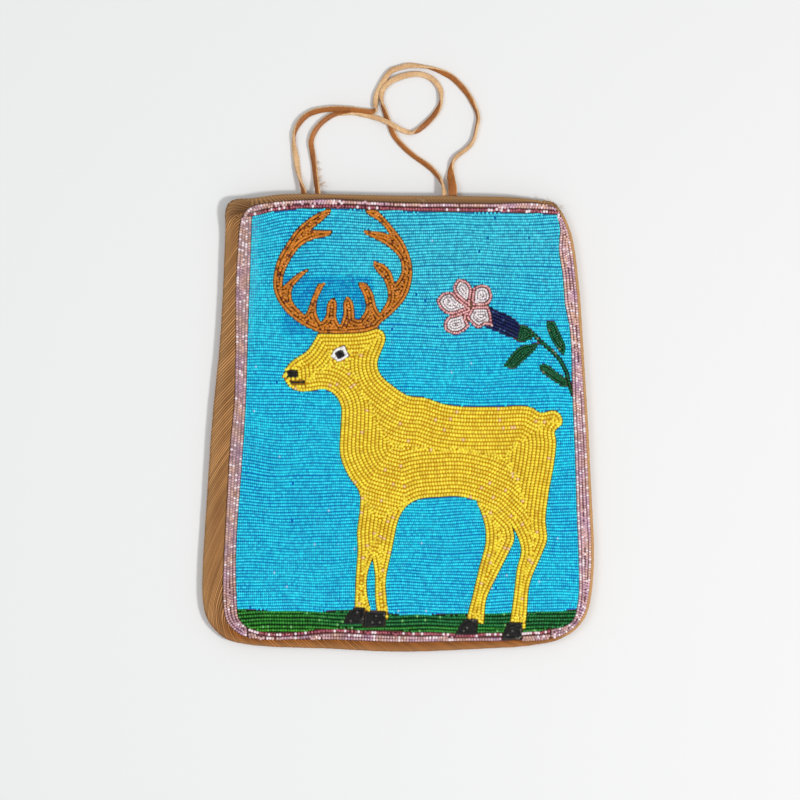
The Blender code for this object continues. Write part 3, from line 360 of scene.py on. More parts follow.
class DepthGrid:
    """How deep the points of a fine grid lie inside an area, and how far from the nearest bead."""

    STEP = 0.0004
    SMALL = 0.03
    MARGIN = 0.0012

    def __init__(self, area: Area, seams: list[np.ndarray], passing: bool = False) -> None:
        """Measures the depths.

        Args:
            area: The area.
            seams: Open lines inside the area that rows of beads follow as they follow its edge.
            passing: Whether the rows pass holes as if they were not there.
        """
        small = float(np.min(area.high - area.low)) < self.SMALL
        self.step = self.STEP / 2 if small else self.STEP
        self.x = np.arange(area.low[0] - self.MARGIN, area.high[0] + self.MARGIN, self.step)
        self.y = np.arange(area.low[1] - self.MARGIN, area.high[1] + self.MARGIN, self.step)
        across, up = np.meshgrid(self.x, self.y)
        points = np.stack([across.ravel(), up.ravel()], axis=1)
        loops = sorted(area.loops, key=lambda loop: line_length(loop, True))
        outline = Area(loops[-1:]) if passing else area
        starts, ends = outline.sides()
        self.starts = np.vstack([starts, *[seam[:-1] for seam in seams]])
        self.ends = np.vstack([ends, *[seam[1:] for seam in seams]])
        depth = distance_to(points, self.starts, self.ends)
        self.depth = np.where(outline.holds(points), depth, -depth).reshape(across.shape)
        self.clear = np.full(across.shape, 1.0)
        if passing and len(loops) > 1:
            holes = Area(loops[:-1])
            away = distance_to(points, *holes.sides())
            self.clear = np.where(holes.holds(points), -away, away).reshape(across.shape)
        self.nearest = np.full(across.shape, 1.0)

    def lines_at(self, level: float) -> list[np.ndarray]:
        """Draws the closed lines that lie at one depth.

        Args:
            level: The depth.

        Returns:
            The lines, each with its own points.
        """
        depth = self.depth - level
        inside = depth > 0
        corners = inside[:-1, :-1] + 2 * inside[:-1, 1:] + 4 * inside[1:, 1:] + 8 * inside[1:, :-1]
        follows = {}
        for row, column in zip(*np.nonzero((corners > 0) & (corners < 15))):
            edges = [
                (row, column, False), (row, column + 1, True),
                (row + 1, column, False), (row, column, True),
            ]
            for leave, reach in CELL_LINES[int(corners[row, column])]:
                follows[edges[leave]] = edges[reach]
        lines = []
        while follows:
            first, edge = follows.popitem()
            line = [first]
            while edge != first:
                line.append(edge)
                edge = follows.pop(edge)
            lines.append(np.array([self.crossing(depth, *key) for key in line]))
        return sorted(lines, key=len, reverse=True)

    def crossing(self, depth: np.ndarray, row: int, column: int, upright: bool) -> tuple[float, float]:
        """Places the point where a depth is zero between two neighbouring grid points.

        Args:
            depth: The depths, less the level that is looked for.
            row: The row of the first point.
            column: The column of the first point.
            upright: Whether the second point is the one above, and not the one to the right.

        Returns:
            The point.
        """
        here = depth[row, column]
        there = depth[row + 1, column] if upright else depth[row, column + 1]
        share = here / (here - there) * self.step
        if upright:
            return self.x[column], self.y[row] + share
        return self.x[column] + share, self.y[row]

    def cell(self, place: np.ndarray) -> tuple[int, int]:
        """Finds the grid point nearest to a place.

        Args:
            place: The place.

        Returns:
            Its row and its column.
        """
        row = int(round((place[1] - self.y[0]) / self.step))
        column = int(round((place[0] - self.x[0]) / self.step))
        return min(max(row, 0), len(self.y) - 1), min(max(column, 0), len(self.x) - 1)

    def put(self, place: np.ndarray, reach: float) -> None:
        """Notes that a bead lies at a place.

        Args:
            place: The bead's place.
            reach: How far round it the note matters.
        """
        row, column = self.cell(place)
        span = int(reach / self.step) + 2
        rows = slice(max(row - span, 0), row + span + 1)
        columns = slice(max(column - span, 0), column + span + 1)
        away = np.hypot(self.x[None, columns] - place[0], self.y[rows, None] - place[1])
        np.minimum(self.nearest[rows, columns], away, out=self.nearest[rows, columns])

    def fill(self, rim: float, edge: float, gap: float) -> list[np.ndarray]:
        """Finds places for more beads, the widest gaps first.

        Args:
            rim: How deep inside the outline they lie at least.
            edge: How far from a hole they lie at least.
            gap: How far from all other beads they lie at least.

        Returns:
            The places.
        """
        free = (self.depth > rim) & (self.clear > edge)
        places = []
        while True:
            gaps = np.where(free, self.nearest, 0.0)
            row, column = np.unravel_index(int(np.argmax(gaps)), gaps.shape)
            if gaps[row, column] < gap:
                return places
            places.append(np.array([self.x[column], self.y[row]]))
            self.put(places[-1], gap * 1.6)


# Shaders


class Value:
    """A number that changes over a surface, on which Python's own arithmetic works."""

    def __init__(self, sheet: Sheet, socket: bpy.types.NodeSocket) -> None:
        """Keeps the socket.

        Args:
            sheet: The shader that the socket belongs to.
            socket: The output socket that gives the number.
        """
        self.sheet = sheet
        self.socket = socket

    def _with(self, operation: str, first: Value | float, second: Value | float) -> Value:
        """Adds one Math node.

        Args:
            operation: The node's operation.
            first: The first number.
            second: The second number.

        Returns:
            What the node gives.
        """
        node = self.sheet.node("ShaderNodeMath", {"operation": operation}, {0: first, 1: second})
        return Value(self.sheet, node.outputs[0])

    def __add__(self, other: Value | float) -> Value:
        """Adds."""
        return self._with("ADD", self, other)

    __radd__ = __add__

    def __sub__(self, other: Value | float) -> Value:
        """Takes away."""
        return self._with("SUBTRACT", self, other)

    def __rsub__(self, other: Value | float) -> Value:
        """Is taken away."""
        return self._with("SUBTRACT", other, self)

    def __mul__(self, other: Value | float) -> Value:
        """Multiplies."""
        return self._with("MULTIPLY", self, other)

    __rmul__ = __mul__

    def over(self, level: float, softness: float) -> Value:
        """Gives 1 where the number is above a level and 0 where it is below.

        Args:
            level: The level.
            softness: The width of the change.

        Returns:
            The mask.
        """
        settings = {"interpolation_type": "SMOOTHSTEP"}
        links = {"Value": self, "From Min": level - softness / 2, "From Max": level + softness / 2}
        return Value(self.sheet, self.sheet.node("ShaderNodeMapRange", settings, links).outputs["Result"])


class Sheet:
    """A material whose nodes are laid one by one."""

    def __init__(self, name: str) -> None:
        """Makes the material with nothing in it.

        Args:
            name: The material's name.
        """
        self.material = bpy.data.materials.new(name)
        self.material.use_nodes = True
        self.tree = self.material.node_tree
        self.tree.nodes.clear()

    def node(self, kind: str, settings: dict | None = None, inputs: dict | None = None) -> bpy.types.Node:
        """Adds a node, with its settings first and then its sockets.

        Args:
            kind: The node's type.
            settings: Its settings by name.
            inputs: Its sockets, by name or number, each with a value, a Value or a socket to link.

        Returns:
            The node.
        """
        made = self.tree.nodes.new(kind)
        for name, setting in (settings or {}).items():
            setattr(made, name, setting)
        for name, source in (inputs or {}).items():
            if isinstance(source, Value):
                self.tree.links.new(source.socket, made.inputs[name])
            elif isinstance(source, bpy.types.NodeSocket):
                self.tree.links.new(source, made.inputs[name])
            else:
                made.inputs[name].default_value = source
        return made

    def attribute(self, name: str) -> Value:
        """Reads a number that the mesh carries."""
        return Value(self, self.node("ShaderNodeAttribute", {"attribute_name": name}).outputs["Fac"])

    def place(self) -> bpy.types.NodeSocket:
        """Gives the place on the object."""
        return self.node("ShaderNodeTexCoord").outputs["Object"]

    def axis(self, name: str) -> Value:
        """Gives the place on the object along one axis."""
        return Value(self, self.node("ShaderNodeSeparateXYZ", None, {"Vector": self.place()}).outputs[name])

    def noise(self, scale: float, detail: float = 2.0) -> Value:
        """Gives cloudy numbers about 0.5.

        Args:
            scale: How many clouds there are to a metre.
            detail: How many finer layers are added.

        Returns:
            The numbers.
        """
        links = {"Vector": self.place(), "Scale": scale, "Detail": detail}
        return Value(self, self.node("ShaderNodeTexNoise", None, links).outputs["Fac"])

    def mix(
        self, share: Value, first: Colour | bpy.types.NodeSocket, second: Colour | bpy.types.NodeSocket,
    ) -> bpy.types.NodeSocket:
        """Mixes two colours.

        Args:
            share: How much of the second there is.
            first: The first colour.
            second: The second colour.

        Returns:
            The socket of the mixed colour.
        """
        colours = [(*part, 1.0) if isinstance(part, tuple) else part for part in (first, second)]
        settings = {"data_type": "RGBA", "clamp_factor": True}
        links = {"Factor": share, 6: colours[0], 7: colours[1]}
        return self.node("ShaderNodeMix", settings, links).outputs[2]

    def bump(self, height: Value, strength: float, distance: float) -> bpy.types.NodeSocket:
        """Turns heights into the bumps of a surface.

        Args:
            height: The heights.
            strength: How strongly they show.
            distance: What a height of one stands for.

        Returns:
            The socket of the bumped normal.
        """
        links = {"Height": height, "Strength": strength, "Distance": distance}
        return self.node("ShaderNodeBump", None, links).outputs["Normal"]

    def finish(self, **sockets: object) -> bpy.types.Material:
        """Adds the surface shader and closes the material.

        Args:
            **sockets: The shader's sockets, with underscores for the spaces in their names.

        Returns:
            The material.
        """
        inputs = {}
        for name, source in sockets.items():
            plain = isinstance(source, tuple)
            inputs[name.replace("_", " ")] = (*source, 1.0) if plain else source
        shader = self.node("ShaderNodeBsdfPrincipled", None, inputs)
        self.node("ShaderNodeOutputMaterial", None, {"Surface": shader.outputs["BSDF"]})
        return self.material


@dataclass(frozen=True)
class BeadGlass:
    """Glossy glass beads of one colour, with lighter and darker ones among them, and some beads of a further
    colour: beads of another colour in some glasses, painted glints in the pink, plum, black and grass glass.
    """

    name: str
    dark: Colour
    light: Colour
    odd_and_glint: Colour
    other: tuple[Colour, Colour] | None = None
    roughness: float = 0.12
    coat: float = 0.3

    def material(self) -> bpy.types.Material:
        """Makes the material: the tone, the dye lot and the mark of the beads of the further colour, painted
        glints in some glasses, come with each bead.

        Returns:
            The material.
        """
        sheet = Sheet(self.name)
        tone = sheet.attribute("tone")
        colour = sheet.mix(tone, self.dark, self.light)
        if self.other:
            colour = sheet.mix(sheet.attribute("lot"), colour, sheet.mix(tone, *self.other))
        # Beads so marked take the further colour: beads of another colour, and in the pink, plum, black and
        # grass glass painted glints.
        colour = sheet.mix(sheet.attribute("odd_and_glint"), colour, self.odd_and_glint)
        return sheet.finish(
            Base_Color=colour, Roughness=self.roughness + 0.12 * tone, Coat_Weight=self.coat,
            Coat_Roughness=0.05, Specular_IOR_Level=0.6,
        )


@dataclass(frozen=True)
class RibbedCloth:
    """Brown cloth with fine raised ribs, rubbed paler on their crests and dark in their grooves, the dark
    partly painted shade; paler still on its folds, and, as painted light, on the right side.
    """

    name: str
    groove_shade: Colour = srgb(66, 35, 12)
    crest: Colour = srgb(212, 155, 97)
    worn_and_lit: Colour = srgb(212, 166, 112)
    grey: Colour = srgb(105, 79, 56)
    red: Colour = srgb(179, 93, 8)
    fibre_size: float = 0.00012

    def material(self) -> bpy.types.Material:
        """Makes the material: the ribs come with the mesh, and their fibres are bumps.

        Returns:
            The material.
        """
        sheet = Sheet(self.name)
        rib = sheet.attribute("rib")
        fibres = sheet.noise(2600.0, 2.0)
        patches = sheet.noise(45.0, 3.0)
        # The ribs' tone runs from the dark groove colour, partly painted shade, to the pale crests.
        tone = rib * 1.05 + fibres * 0.30 + (patches - 0.5) * 0.25 - 0.1
        colour = sheet.mix(tone, self.groove_shade, self.crest)
        high = sheet.axis("Y")
        grey, red = (sheet.mix(tone, self.groove_shade, crest) for crest in (self.grey, self.red))
        colour = sheet.mix(high.over(0.125, 0.01) * 0.72, colour, grey)
        colour = sheet.mix((1.0 - high.over(-0.122, 0.014)) * 0.7, colour, red)
        # Paler where the mesh marks it: rubbed on the folded rows, and painted light towards the right side,
        # where the key light falls.
        colour = sheet.mix(sheet.attribute("wear_and_lit_side") * (0.3 + fibres * 0.7), colour, self.worn_and_lit)
        normal = sheet.bump(fibres + rib * 0.3, 0.6, self.fibre_size)
        return sheet.finish(
            Base_Color=colour, Roughness=0.86, Normal=normal, Specular_IOR_Level=0.15, Sheen_Weight=0.06,
            Sheen_Roughness=0.5,
        )


@dataclass(frozen=True)
class CanvasCloth:
    """Plain-woven canvas, seen between the beads and inside the mouth."""

    name: str
    thread: Colour = srgb(150, 112, 78)
    gap: Colour = srgb(96, 68, 44)
    threads_to_a_metre: float = 1400.0

    def material(self) -> bpy.types.Material:
        """Makes the material: two crossing sets of threads.

        Returns:
            The material.
        """
        sheet = Sheet(self.name)
        waves = []
        for direction in ("X", "Y"):
            settings = {"bands_direction": direction}
            links = {"Vector": sheet.place(), "Scale": self.threads_to_a_metre / 6.3, "Distortion": 0.6}
            waves.append(Value(sheet, sheet.node("ShaderNodeTexWave", settings, links).outputs["Fac"]))
        weave = waves[0] * waves[1]
        colour = sheet.mix(weave + sheet.noise(160.0) * 0.4, self.gap, self.thread)
        return sheet.finish(Base_Color=colour, Roughness=0.9, Normal=sheet.bump(weave, 0.5, 0.0002))


@dataclass(frozen=True)
class ThongLeather:
    """Leather cut in strips: smooth and brown on its face, pale and fuzzy on its cut sides and back."""

    name: str
    face: Colour = srgb(196, 118, 42)
    face_dark: Colour = srgb(108, 56, 16)
    flesh: Colour = srgb(240, 204, 156)
    flesh_dark: Colour = srgb(170, 116, 66)

    def material(self) -> bpy.types.Material:
        """Makes the material: which side is which comes with the mesh.

        Returns:
            The material.
        """
        sheet = Sheet(self.name)
        grain = sheet.noise(900.0, 4.0)
        patches = sheet.noise(90.0, 3.0)
        face = sheet.mix(grain * 0.9 + patches * 0.9 - 0.4, self.face_dark, self.face)
        flesh = sheet.mix(grain * 1.0 + patches * 0.9 - 0.4, self.flesh_dark, self.flesh)
        pale = sheet.attribute("flesh") + (grain - 0.5) * 0.35
        side = pale.over(0.5, 0.35)
        normal = sheet.bump(grain, 0.7, 0.00015)
        return sheet.finish(
            Base_Color=sheet.mix(side, face, flesh), Roughness=0.55 + side * 0.3, Normal=normal
        )


@dataclass(frozen=True)
class Thread:
    """Spun sewing thread."""

    name: str
    colour: Colour = srgb(222, 190, 148)
    shade: Colour = srgb(150, 110, 72)

    def material(self) -> bpy.types.Material:
        """Makes the material: uneven along its length."""
        sheet = Sheet(self.name)
        return sheet.finish(Base_Color=sheet.mix(sheet.noise(1500.0), self.shade, self.colour), Roughness=0.8)


@dataclass(frozen=True)
class PaleGround:
    """The pale paper that the bag lies on."""

    name: str
    left: Colour = srgb(230, 231, 231)
    right: Colour = srgb(228, 228, 228)
    reach: float = 0.6

    def material(self) -> bpy.types.Material:
        """Makes the material: a little greyer on the right.

        Returns:
            The material.
        """
        sheet = Sheet(self.name)
        colour = sheet.mix(sheet.axis("X") * (1.0 / self.reach) + 0.5, self.left, self.right)
        return sheet.finish(Base_Color=colour, Roughness=0.9, Specular_IOR_Level=0.1)


# Meshes


def new_piece(
    name: str, points: np.ndarray, groups: list[np.ndarray], material: bpy.types.Material,
    attributes: dict[str, np.ndarray] | None = None, smooth: int = 9,
) -> bpy.types.Object:
    """Makes a mesh object.

    Args:
        name: The piece's name.
        points: Its points, one row of three numbers each.
        groups: Its faces as rows of point numbers, in groups with the same number of corners.
        material: Its material.
        attributes: Numbers that its points carry, by name.
        smooth: How many of the groups are shaded smoothly.

    Returns:
        The object.
    """
    mesh = bpy.data.meshes.new(name)
    mesh.vertices.add(len(points))
    mesh.vertices.foreach_set("co", points.astype(np.float32).ravel())
    corners = np.concatenate([group.ravel() for group in groups]).astype(np.int32)
    sizes = np.concatenate([np.full(len(group), group.shape[1]) for group in groups])
    mesh.loops.add(len(corners))
    mesh.loops.foreach_set("vertex_index", corners)
    mesh.polygons.add(len(sizes))
    starts = np.concatenate([[0], np.cumsum(sizes)[:-1]]).astype(np.int32)
    mesh.polygons.foreach_set("loop_start", starts)
    mesh.update(calc_edges=True)
    shading = np.concatenate([np.full(len(group), place < smooth) for place, group in enumerate(groups)])
    mesh.polygons.foreach_set("use_smooth", shading)
    for key, numbers in (attributes or {}).items():
        mesh.attributes.new(key, "FLOAT", "POINT").data.foreach_set("value", numbers.astype(np.float32))
    flat_map(mesh, points, corners)
    mesh.materials.append(material)
    piece = bpy.data.objects.new(name, mesh)
    bpy.context.scene.collection.objects.link(piece)
    return piece


def flat_map(mesh: bpy.types.Mesh, points: np.ndarray, corners: np.ndarray) -> None:
    """Gives a mesh the map that a view from above makes.

    Args:
        mesh: The mesh.
        points: Its points.
        corners: The point number of each corner of its faces.
    """
    low = points[:, :2].min(axis=0)
    size = float((points[:, :2].max(axis=0) - low).max())
    flat = (points[:, :2] - low) / size * 0.98 + 0.01
    mesh.uv_layers.new(name="OFBake").data.foreach_set("uv", flat[corners].astype(np.float32).ravel())


def grid_faces(rows: int, columns: int, closed: bool) -> np.ndarray:
    """Joins a grid of points, stored column after column, into four-sided faces.

    Args:
        rows: How many points a column has.
        columns: How many columns there are.
        closed: Whether the last column joins the first.

    Returns:
        The faces, one row of four point numbers each.
    """
    count = columns if closed else columns - 1
    column = np.repeat(np.arange(count), rows - 1)
    row = np.tile(np.arange(rows - 1), count)
    here = column * rows + row
    there = (column + 1) % columns * rows + row
    return np.stack([here, there, there + 1, here + 1], axis=1)


def tube_faces(sides: int, rings: int) -> tuple[np.ndarray, np.ndarray]:
    """Joins rings of points, stored ring after ring, into a closed tube.

    Args:
        sides: How many points a ring has.
        rings: How many rings there are.

    Returns:
        The four-sided faces of its wall, and its two ends.
    """
    seam = np.arange(rings - 1) * sides
    joined = np.stack([seam + sides - 1, seam + 2 * sides - 1, seam + sides, seam], axis=1)
    ends = np.stack([np.arange(sides), (rings - 1) * sides + np.arange(sides)[::-1]])
    return np.vstack([grid_faces(sides, rings, False), joined]), ends


def dress(piece: bpy.types.Object, node: str | None, note: str) -> bpy.types.Object:
    """Says what a piece rides on and which node it replaces, and reports it.

    Args:
        piece: The piece.
        node: The node that it replaces, if it replaces one.
        note: What to report of it.

    Returns:
        The same piece.
    """
    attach(piece, BODY)
    if node:
        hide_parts(node)
    LOG.info("%s: %s", piece.name, note)
    return piece


def modified(piece: bpy.types.Object) -> bpy.types.Object:
    """Applies a piece's modifiers to its mesh.

    Args:
        piece: The piece.

    Returns:
        The same piece.
    """
    bpy.context.view_layer.update()
    graph = bpy.context.evaluated_depsgraph_get()
    mesh = bpy.data.meshes.new_from_object(piece.evaluated_get(graph))
    piece.modifiers.clear()
    piece.data = mesh
    return piece


def thicken(piece: bpy.types.Object, thickness: float, offset: float) -> bpy.types.Object:
    """Gives an open sheet its thickness.

    Args:
        piece: The sheet.
        thickness: The thickness.
        offset: On which side the thickness lies, from -1 to 1.

    Returns:
        The same piece.
    """
    solidify = piece.modifiers.new("thickness", "SOLIDIFY")
    solidify.thickness = thickness
    solidify.offset = offset
    solidify.use_even_offset = False
    return modified(piece)


# The bag's form


class BagForm:
    """The outline of the bag and of its beadwork, and how its front lies."""

    TURNS = 2400
    CLOTH = "cloth_body"
    MOUTH_HALF = 0.1075
    MOUTH_CHANGE = 0.006
    FALL = 0.0024
    FALL_WIDTH = 0.026
    SWELL = 0.0003

    def __init__(self) -> None:
        """Reads the outlines from the frame."""
        self.turns = np.linspace(-math.pi, math.pi, self.TURNS, endpoint=False)
        self.edge_reach = envelope([self.CLOTH], self.turns)
        beads = [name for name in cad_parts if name.startswith("border_")]
        self.bead_reach = envelope(beads, self.turns)
        self.bead_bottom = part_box("sky_left")[0].z
        self.fold_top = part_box(self.CLOTH)[1].z
        low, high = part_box("mouth_hem")
        self.hem_ends = (low.x, high.x)
        self.hem_low = low.y
        self.hem_bottom = low.z
        self.edge = self.around(self.edge_reach)
        sides = self.edge[self.edge[:, 1] < self.hem_low]
        order = np.argsort(np.mod(np.arctan2(sides[:, 1], sides[:, 0]) - math.pi / 2, 2 * math.pi))
        self.walls = sides[order][::8]

    def around(self, reach: np.ndarray) -> np.ndarray:
        """Turns reaches in all directions into an outline.

        Args:
            reach: The reach in each direction.

        Returns:
            The outline's points.
        """
        return np.stack([np.cos(self.turns) * reach, np.sin(self.turns) * reach], axis=1)

    def reach_at(self, turns: np.ndarray, reach: np.ndarray) -> np.ndarray:
        """Reads a reach in any directions.

        Args:
            turns: The directions, as angles.
            reach: The reach in each of the form's own directions.

        Returns:
            The reach in the directions asked for.
        """
        return np.interp(turns, self.turns, reach, period=2 * math.pi)

    def drop(self, points: np.ndarray) -> np.ndarray:
        """Says how far the front lies below its full height: it falls off to the edges and waves.

        Args:
            points: Places on the front.

        Returns:
            The drop at each place.
        """
        away = distance_to(points, self.walls[:-1], self.walls[1:])
        fall = self.FALL * (1.0 - smoothstep(away / self.FALL_WIDTH))
        wave = np.sin(points[:, 0] / 0.019 + 1.3) * np.sin(points[:, 1] / 0.027 + 0.4)
        return fall + self.SWELL * (1.0 - wave)

    def openness(self, points: np.ndarray) -> np.ndarray:
        """Says how open the bag's edge is: 1 at the mouth, 0 where front and back are joined.

        Args:
            points: Places at the edge.

        Returns:
            A share between 0 and 1 for each place.
        """
        reach = smoothstep((self.MOUTH_HALF - np.abs(points[:, 0])) / self.MOUTH_CHANGE)
        return reach * (points[:, 1] > 0.0)


# Beadwork


class RowPlan(Enum):
    """How the rows of an area run."""

    LEVEL = "from side to side"
    CONTOUR = "round and round, along the outline"


@dataclass(frozen=True)
class BeadShape:
    """One size of bead: a short barrel that lies along its row.

    The rings are places along the bead, as shares of half its length, with the girth there.
    """

    length: float
    width: float
    spacing: float
    pitch: float
    sides: int
    rings: tuple[tuple[float, float], ...]

    def solids(
        self, middles: np.ndarray, headings: np.ndarray, sizes: np.ndarray, tilts: np.ndarray,
    ) -> tuple[np.ndarray, np.ndarray, np.ndarray]:
        """Makes the points and faces of all the beads of a piece.

        Args:
            middles: The beads' middles.
            headings: The level direction of each bead's hole.
            sizes: The size of each bead, as a share of the usual one.
            tilts: How steeply each bead's hole climbs.

        Returns:
            The points, the four-sided faces and the end faces.
        """
        along = np.column_stack([headings, tilts])
        along /= np.linalg.norm(along, axis=1, keepdims=True)
        across = np.column_stack([-headings[:, 1], headings[:, 0], np.zeros(len(headings))])
        up = np.cross(along, across)
        turns = np.arange(self.sides) * 2 * math.pi / self.sides + math.pi / 2
        ring = across[:, None] * np.cos(turns)[None, :, None] + up[:, None] * np.sin(turns)[None, :, None]
        layers = []
        for share, girth in self.rings:
            shift = along * (share * self.length / 2) * sizes[:, None]
            radius = (girth * self.width / 2 * sizes)[:, None, None]
            layers.append((middles + shift)[:, None, :] + ring * radius)
        points = np.stack(layers, axis=1).reshape(-1, 3)
        count = len(self.rings) * self.sides
        layer = np.repeat(np.arange(len(self.rings) - 1), self.sides) * self.sides
        side = np.tile(np.arange(self.sides), len(self.rings) - 1)
        after = (side + 1) % self.sides
        above = layer + self.sides
        quads = np.stack([layer + side, layer + after, above + after, above + side], 1)
        last = count - self.sides
        caps = np.stack([np.arange(self.sides)[::-1], last + np.arange(self.sides)])
        starts = (np.arange(len(middles)) * count)[:, None, None]
        return (
            points, (quads[None] + starts).reshape(-1, 4), (caps[None] + starts).reshape(-1, self.sides)
        )


PLAIN_RINGS = ((-1.0, 0.50), (-0.42, 1.0), (0.42, 1.0), (1.0, 0.50))
ROUND_RINGS = ((-1.0, 0.52), (-0.62, 0.88), (0.0, 1.0), (0.62, 0.88), (1.0, 0.52))
TUBE_RINGS = ((-1.0, 0.74), (-0.7, 0.95), (0.7, 0.95), (1.0, 0.74))
FIELD_BEAD = BeadShape(0.00118, 0.00180, 0.00120, 0.00180, 4, PLAIN_RINGS)
GRASS_BEAD = BeadShape(0.00150, 0.00200, 0.00155, 0.00220, 4, PLAIN_RINGS)
FIGURE_BEAD = BeadShape(0.00170, 0.00232, 0.00176, 0.00236, 6, PLAIN_RINGS)
ANTLER_BEAD = BeadShape(0.00158, 0.00206, 0.00156, 0.00206, 6, TUBE_RINGS)
PETAL_BEAD = BeadShape(0.00130, 0.00164, 0.00132, 0.00165, 6, ROUND_RINGS)
TUBE_BEAD = BeadShape(0.00140, 0.00186, 0.00144, 0.00190, 6, ROUND_RINGS)
HEM_BEAD = BeadShape(0.00164, 0.00206, 0.00170, 0.00230, 6, PLAIN_RINGS)
SIDE_BEAD = BeadShape(0.00150, 0.00186, 0.00156, 0.00190, 6, PLAIN_RINGS)


@dataclass(frozen=True)
class SkyWave:
    """The gentle waves of the level rows, and where they bend to the border on the left."""

    swing: float = 0.00055
    length: float = 0.013
    climb: float = 0.0042
    climb_x: float = -0.096
    climb_y: float = -0.016
    climb_width: float = 0.015
    climb_height: float = 0.024
    fall: float = 0.0036
    fall_x: float = -0.066
    fall_width: float = 0.026

    def rise(self, x: np.ndarray, level: np.ndarray) -> np.ndarray:
        """Says how far a row lies above its level.

        Args:
            x: Places along the rows.
            level: The rows' levels.

        Returns:
            The rise at each place.
        """
        wave = np.sin(x / self.length + level / 0.021) + 0.6 * np.sin(x / 0.031 - level / 0.013 + 1.0)
        ripple = 0.35 * np.sin(x / 0.0052 + np.sin(level / 0.009) * 2.0)
        near = ((x - self.climb_x) / self.climb_width) ** 2
        near += ((level - self.climb_y) / self.climb_height) ** 2
        fall = smoothstep((self.fall_x - x) / self.fall_width) * smoothstep((level - 0.06) / 0.065)
        return self.swing * (wave + ripple) + self.climb * np.exp(-near) - self.fall * fall


class DyeLots:
    """Beads that are all from one lot."""

    def other(self, places: np.ndarray) -> np.ndarray:
        """Says how far each place has the other lot's colours."""
        return np.zeros(len(places))

    def shade(self, places: np.ndarray) -> np.ndarray:
        """Says how much darker each place is."""
        return np.zeros(len(places))


class SkyLots(DyeLots):
    """A bluer sky on the left and below, turquoise above, deep blue low between the antlers."""

    def other(self, places: np.ndarray) -> np.ndarray:
        """Says how turquoise each place is.

        Args:
            places: The beads' places.

        Returns:
            A share between 0 and 1 for each place.
        """
        x, y = places.T
        high = smoothstep((y - 0.02 + 0.012 * np.sin(x / 0.017)) / 0.09)
        right = 0.35 + 0.65 * smoothstep((x + 0.06) / 0.05)
        return np.clip(high * right * 0.8 + 0.12 - 1.2 * self.between(places), 0.0, 1.0)

    def shade(self, places: np.ndarray) -> np.ndarray:
        """Says how much darker each place is."""
        return 0.3 * self.between(places)

    def between(self, places: np.ndarray) -> np.ndarray:
        """Says which places lie low between the antlers.

        Args:
            places: The beads' places.

        Returns:
            A share between 0 and 1 for each place.
        """
        x, y = places.T
        across = smoothstep((0.03 - np.abs(x + 0.043)) / 0.006)
        return across * smoothstep((y - 0.052) / 0.004) * smoothstep((0.0905 - y) / 0.003)


class NoseLots(DyeLots):
    """Yellow beads at the tip of the muzzle, where the row of the outline passes the nose."""

    TIP = -0.0676

    def other(self, places: np.ndarray) -> np.ndarray:
        """Says which places are yellow."""
        return (places[:, 0] < self.TIP).astype(float)


class MouthLots(DyeLots):
    """Yellow round the one row of black beads that is the mouth."""

    MIDDLE = 0.0247
    HALF = 0.0009

    def other(self, places: np.ndarray) -> np.ndarray:
        """Says which places are yellow."""
        return (np.abs(places[:, 1] - self.MIDDLE) > self.HALF).astype(float)


class BorderLots(DyeLots):
    """Runs of lilac beads among the pink ones."""

    def other(self, places: np.ndarray) -> np.ndarray:
        """Says how lilac each place is."""
        x, y = places.T
        return 0.5 + 0.5 * np.sin(x / 0.0031 + 2.0 * np.sin(y / 0.009)) * np.sin(y / 0.0043 + x / 0.006)

    def shade(self, places: np.ndarray) -> np.ndarray:
        """Says how much darker each place is: the left side and the bottom are."""
        x, y = places.T
        return 0.16 * np.maximum(smoothstep((-0.06 - x) / 0.02), smoothstep((-0.115 - y) / 0.006))


class GrassLots(DyeLots):
    """Brighter grass on the left and along the bottom."""

    def other(self, places: np.ndarray) -> np.ndarray:
        """Says how bright each place is.

        Args:
            places: The beads' places.

        Returns:
            A share between 0 and 1 for each place.
        """
        x, y = places.T
        return np.clip(
            0.6 * smoothstep((-0.02 - x) / 0.05) + 0.5 * smoothstep((-0.1235 - y) / 0.001), 0.0, 1.0
        )


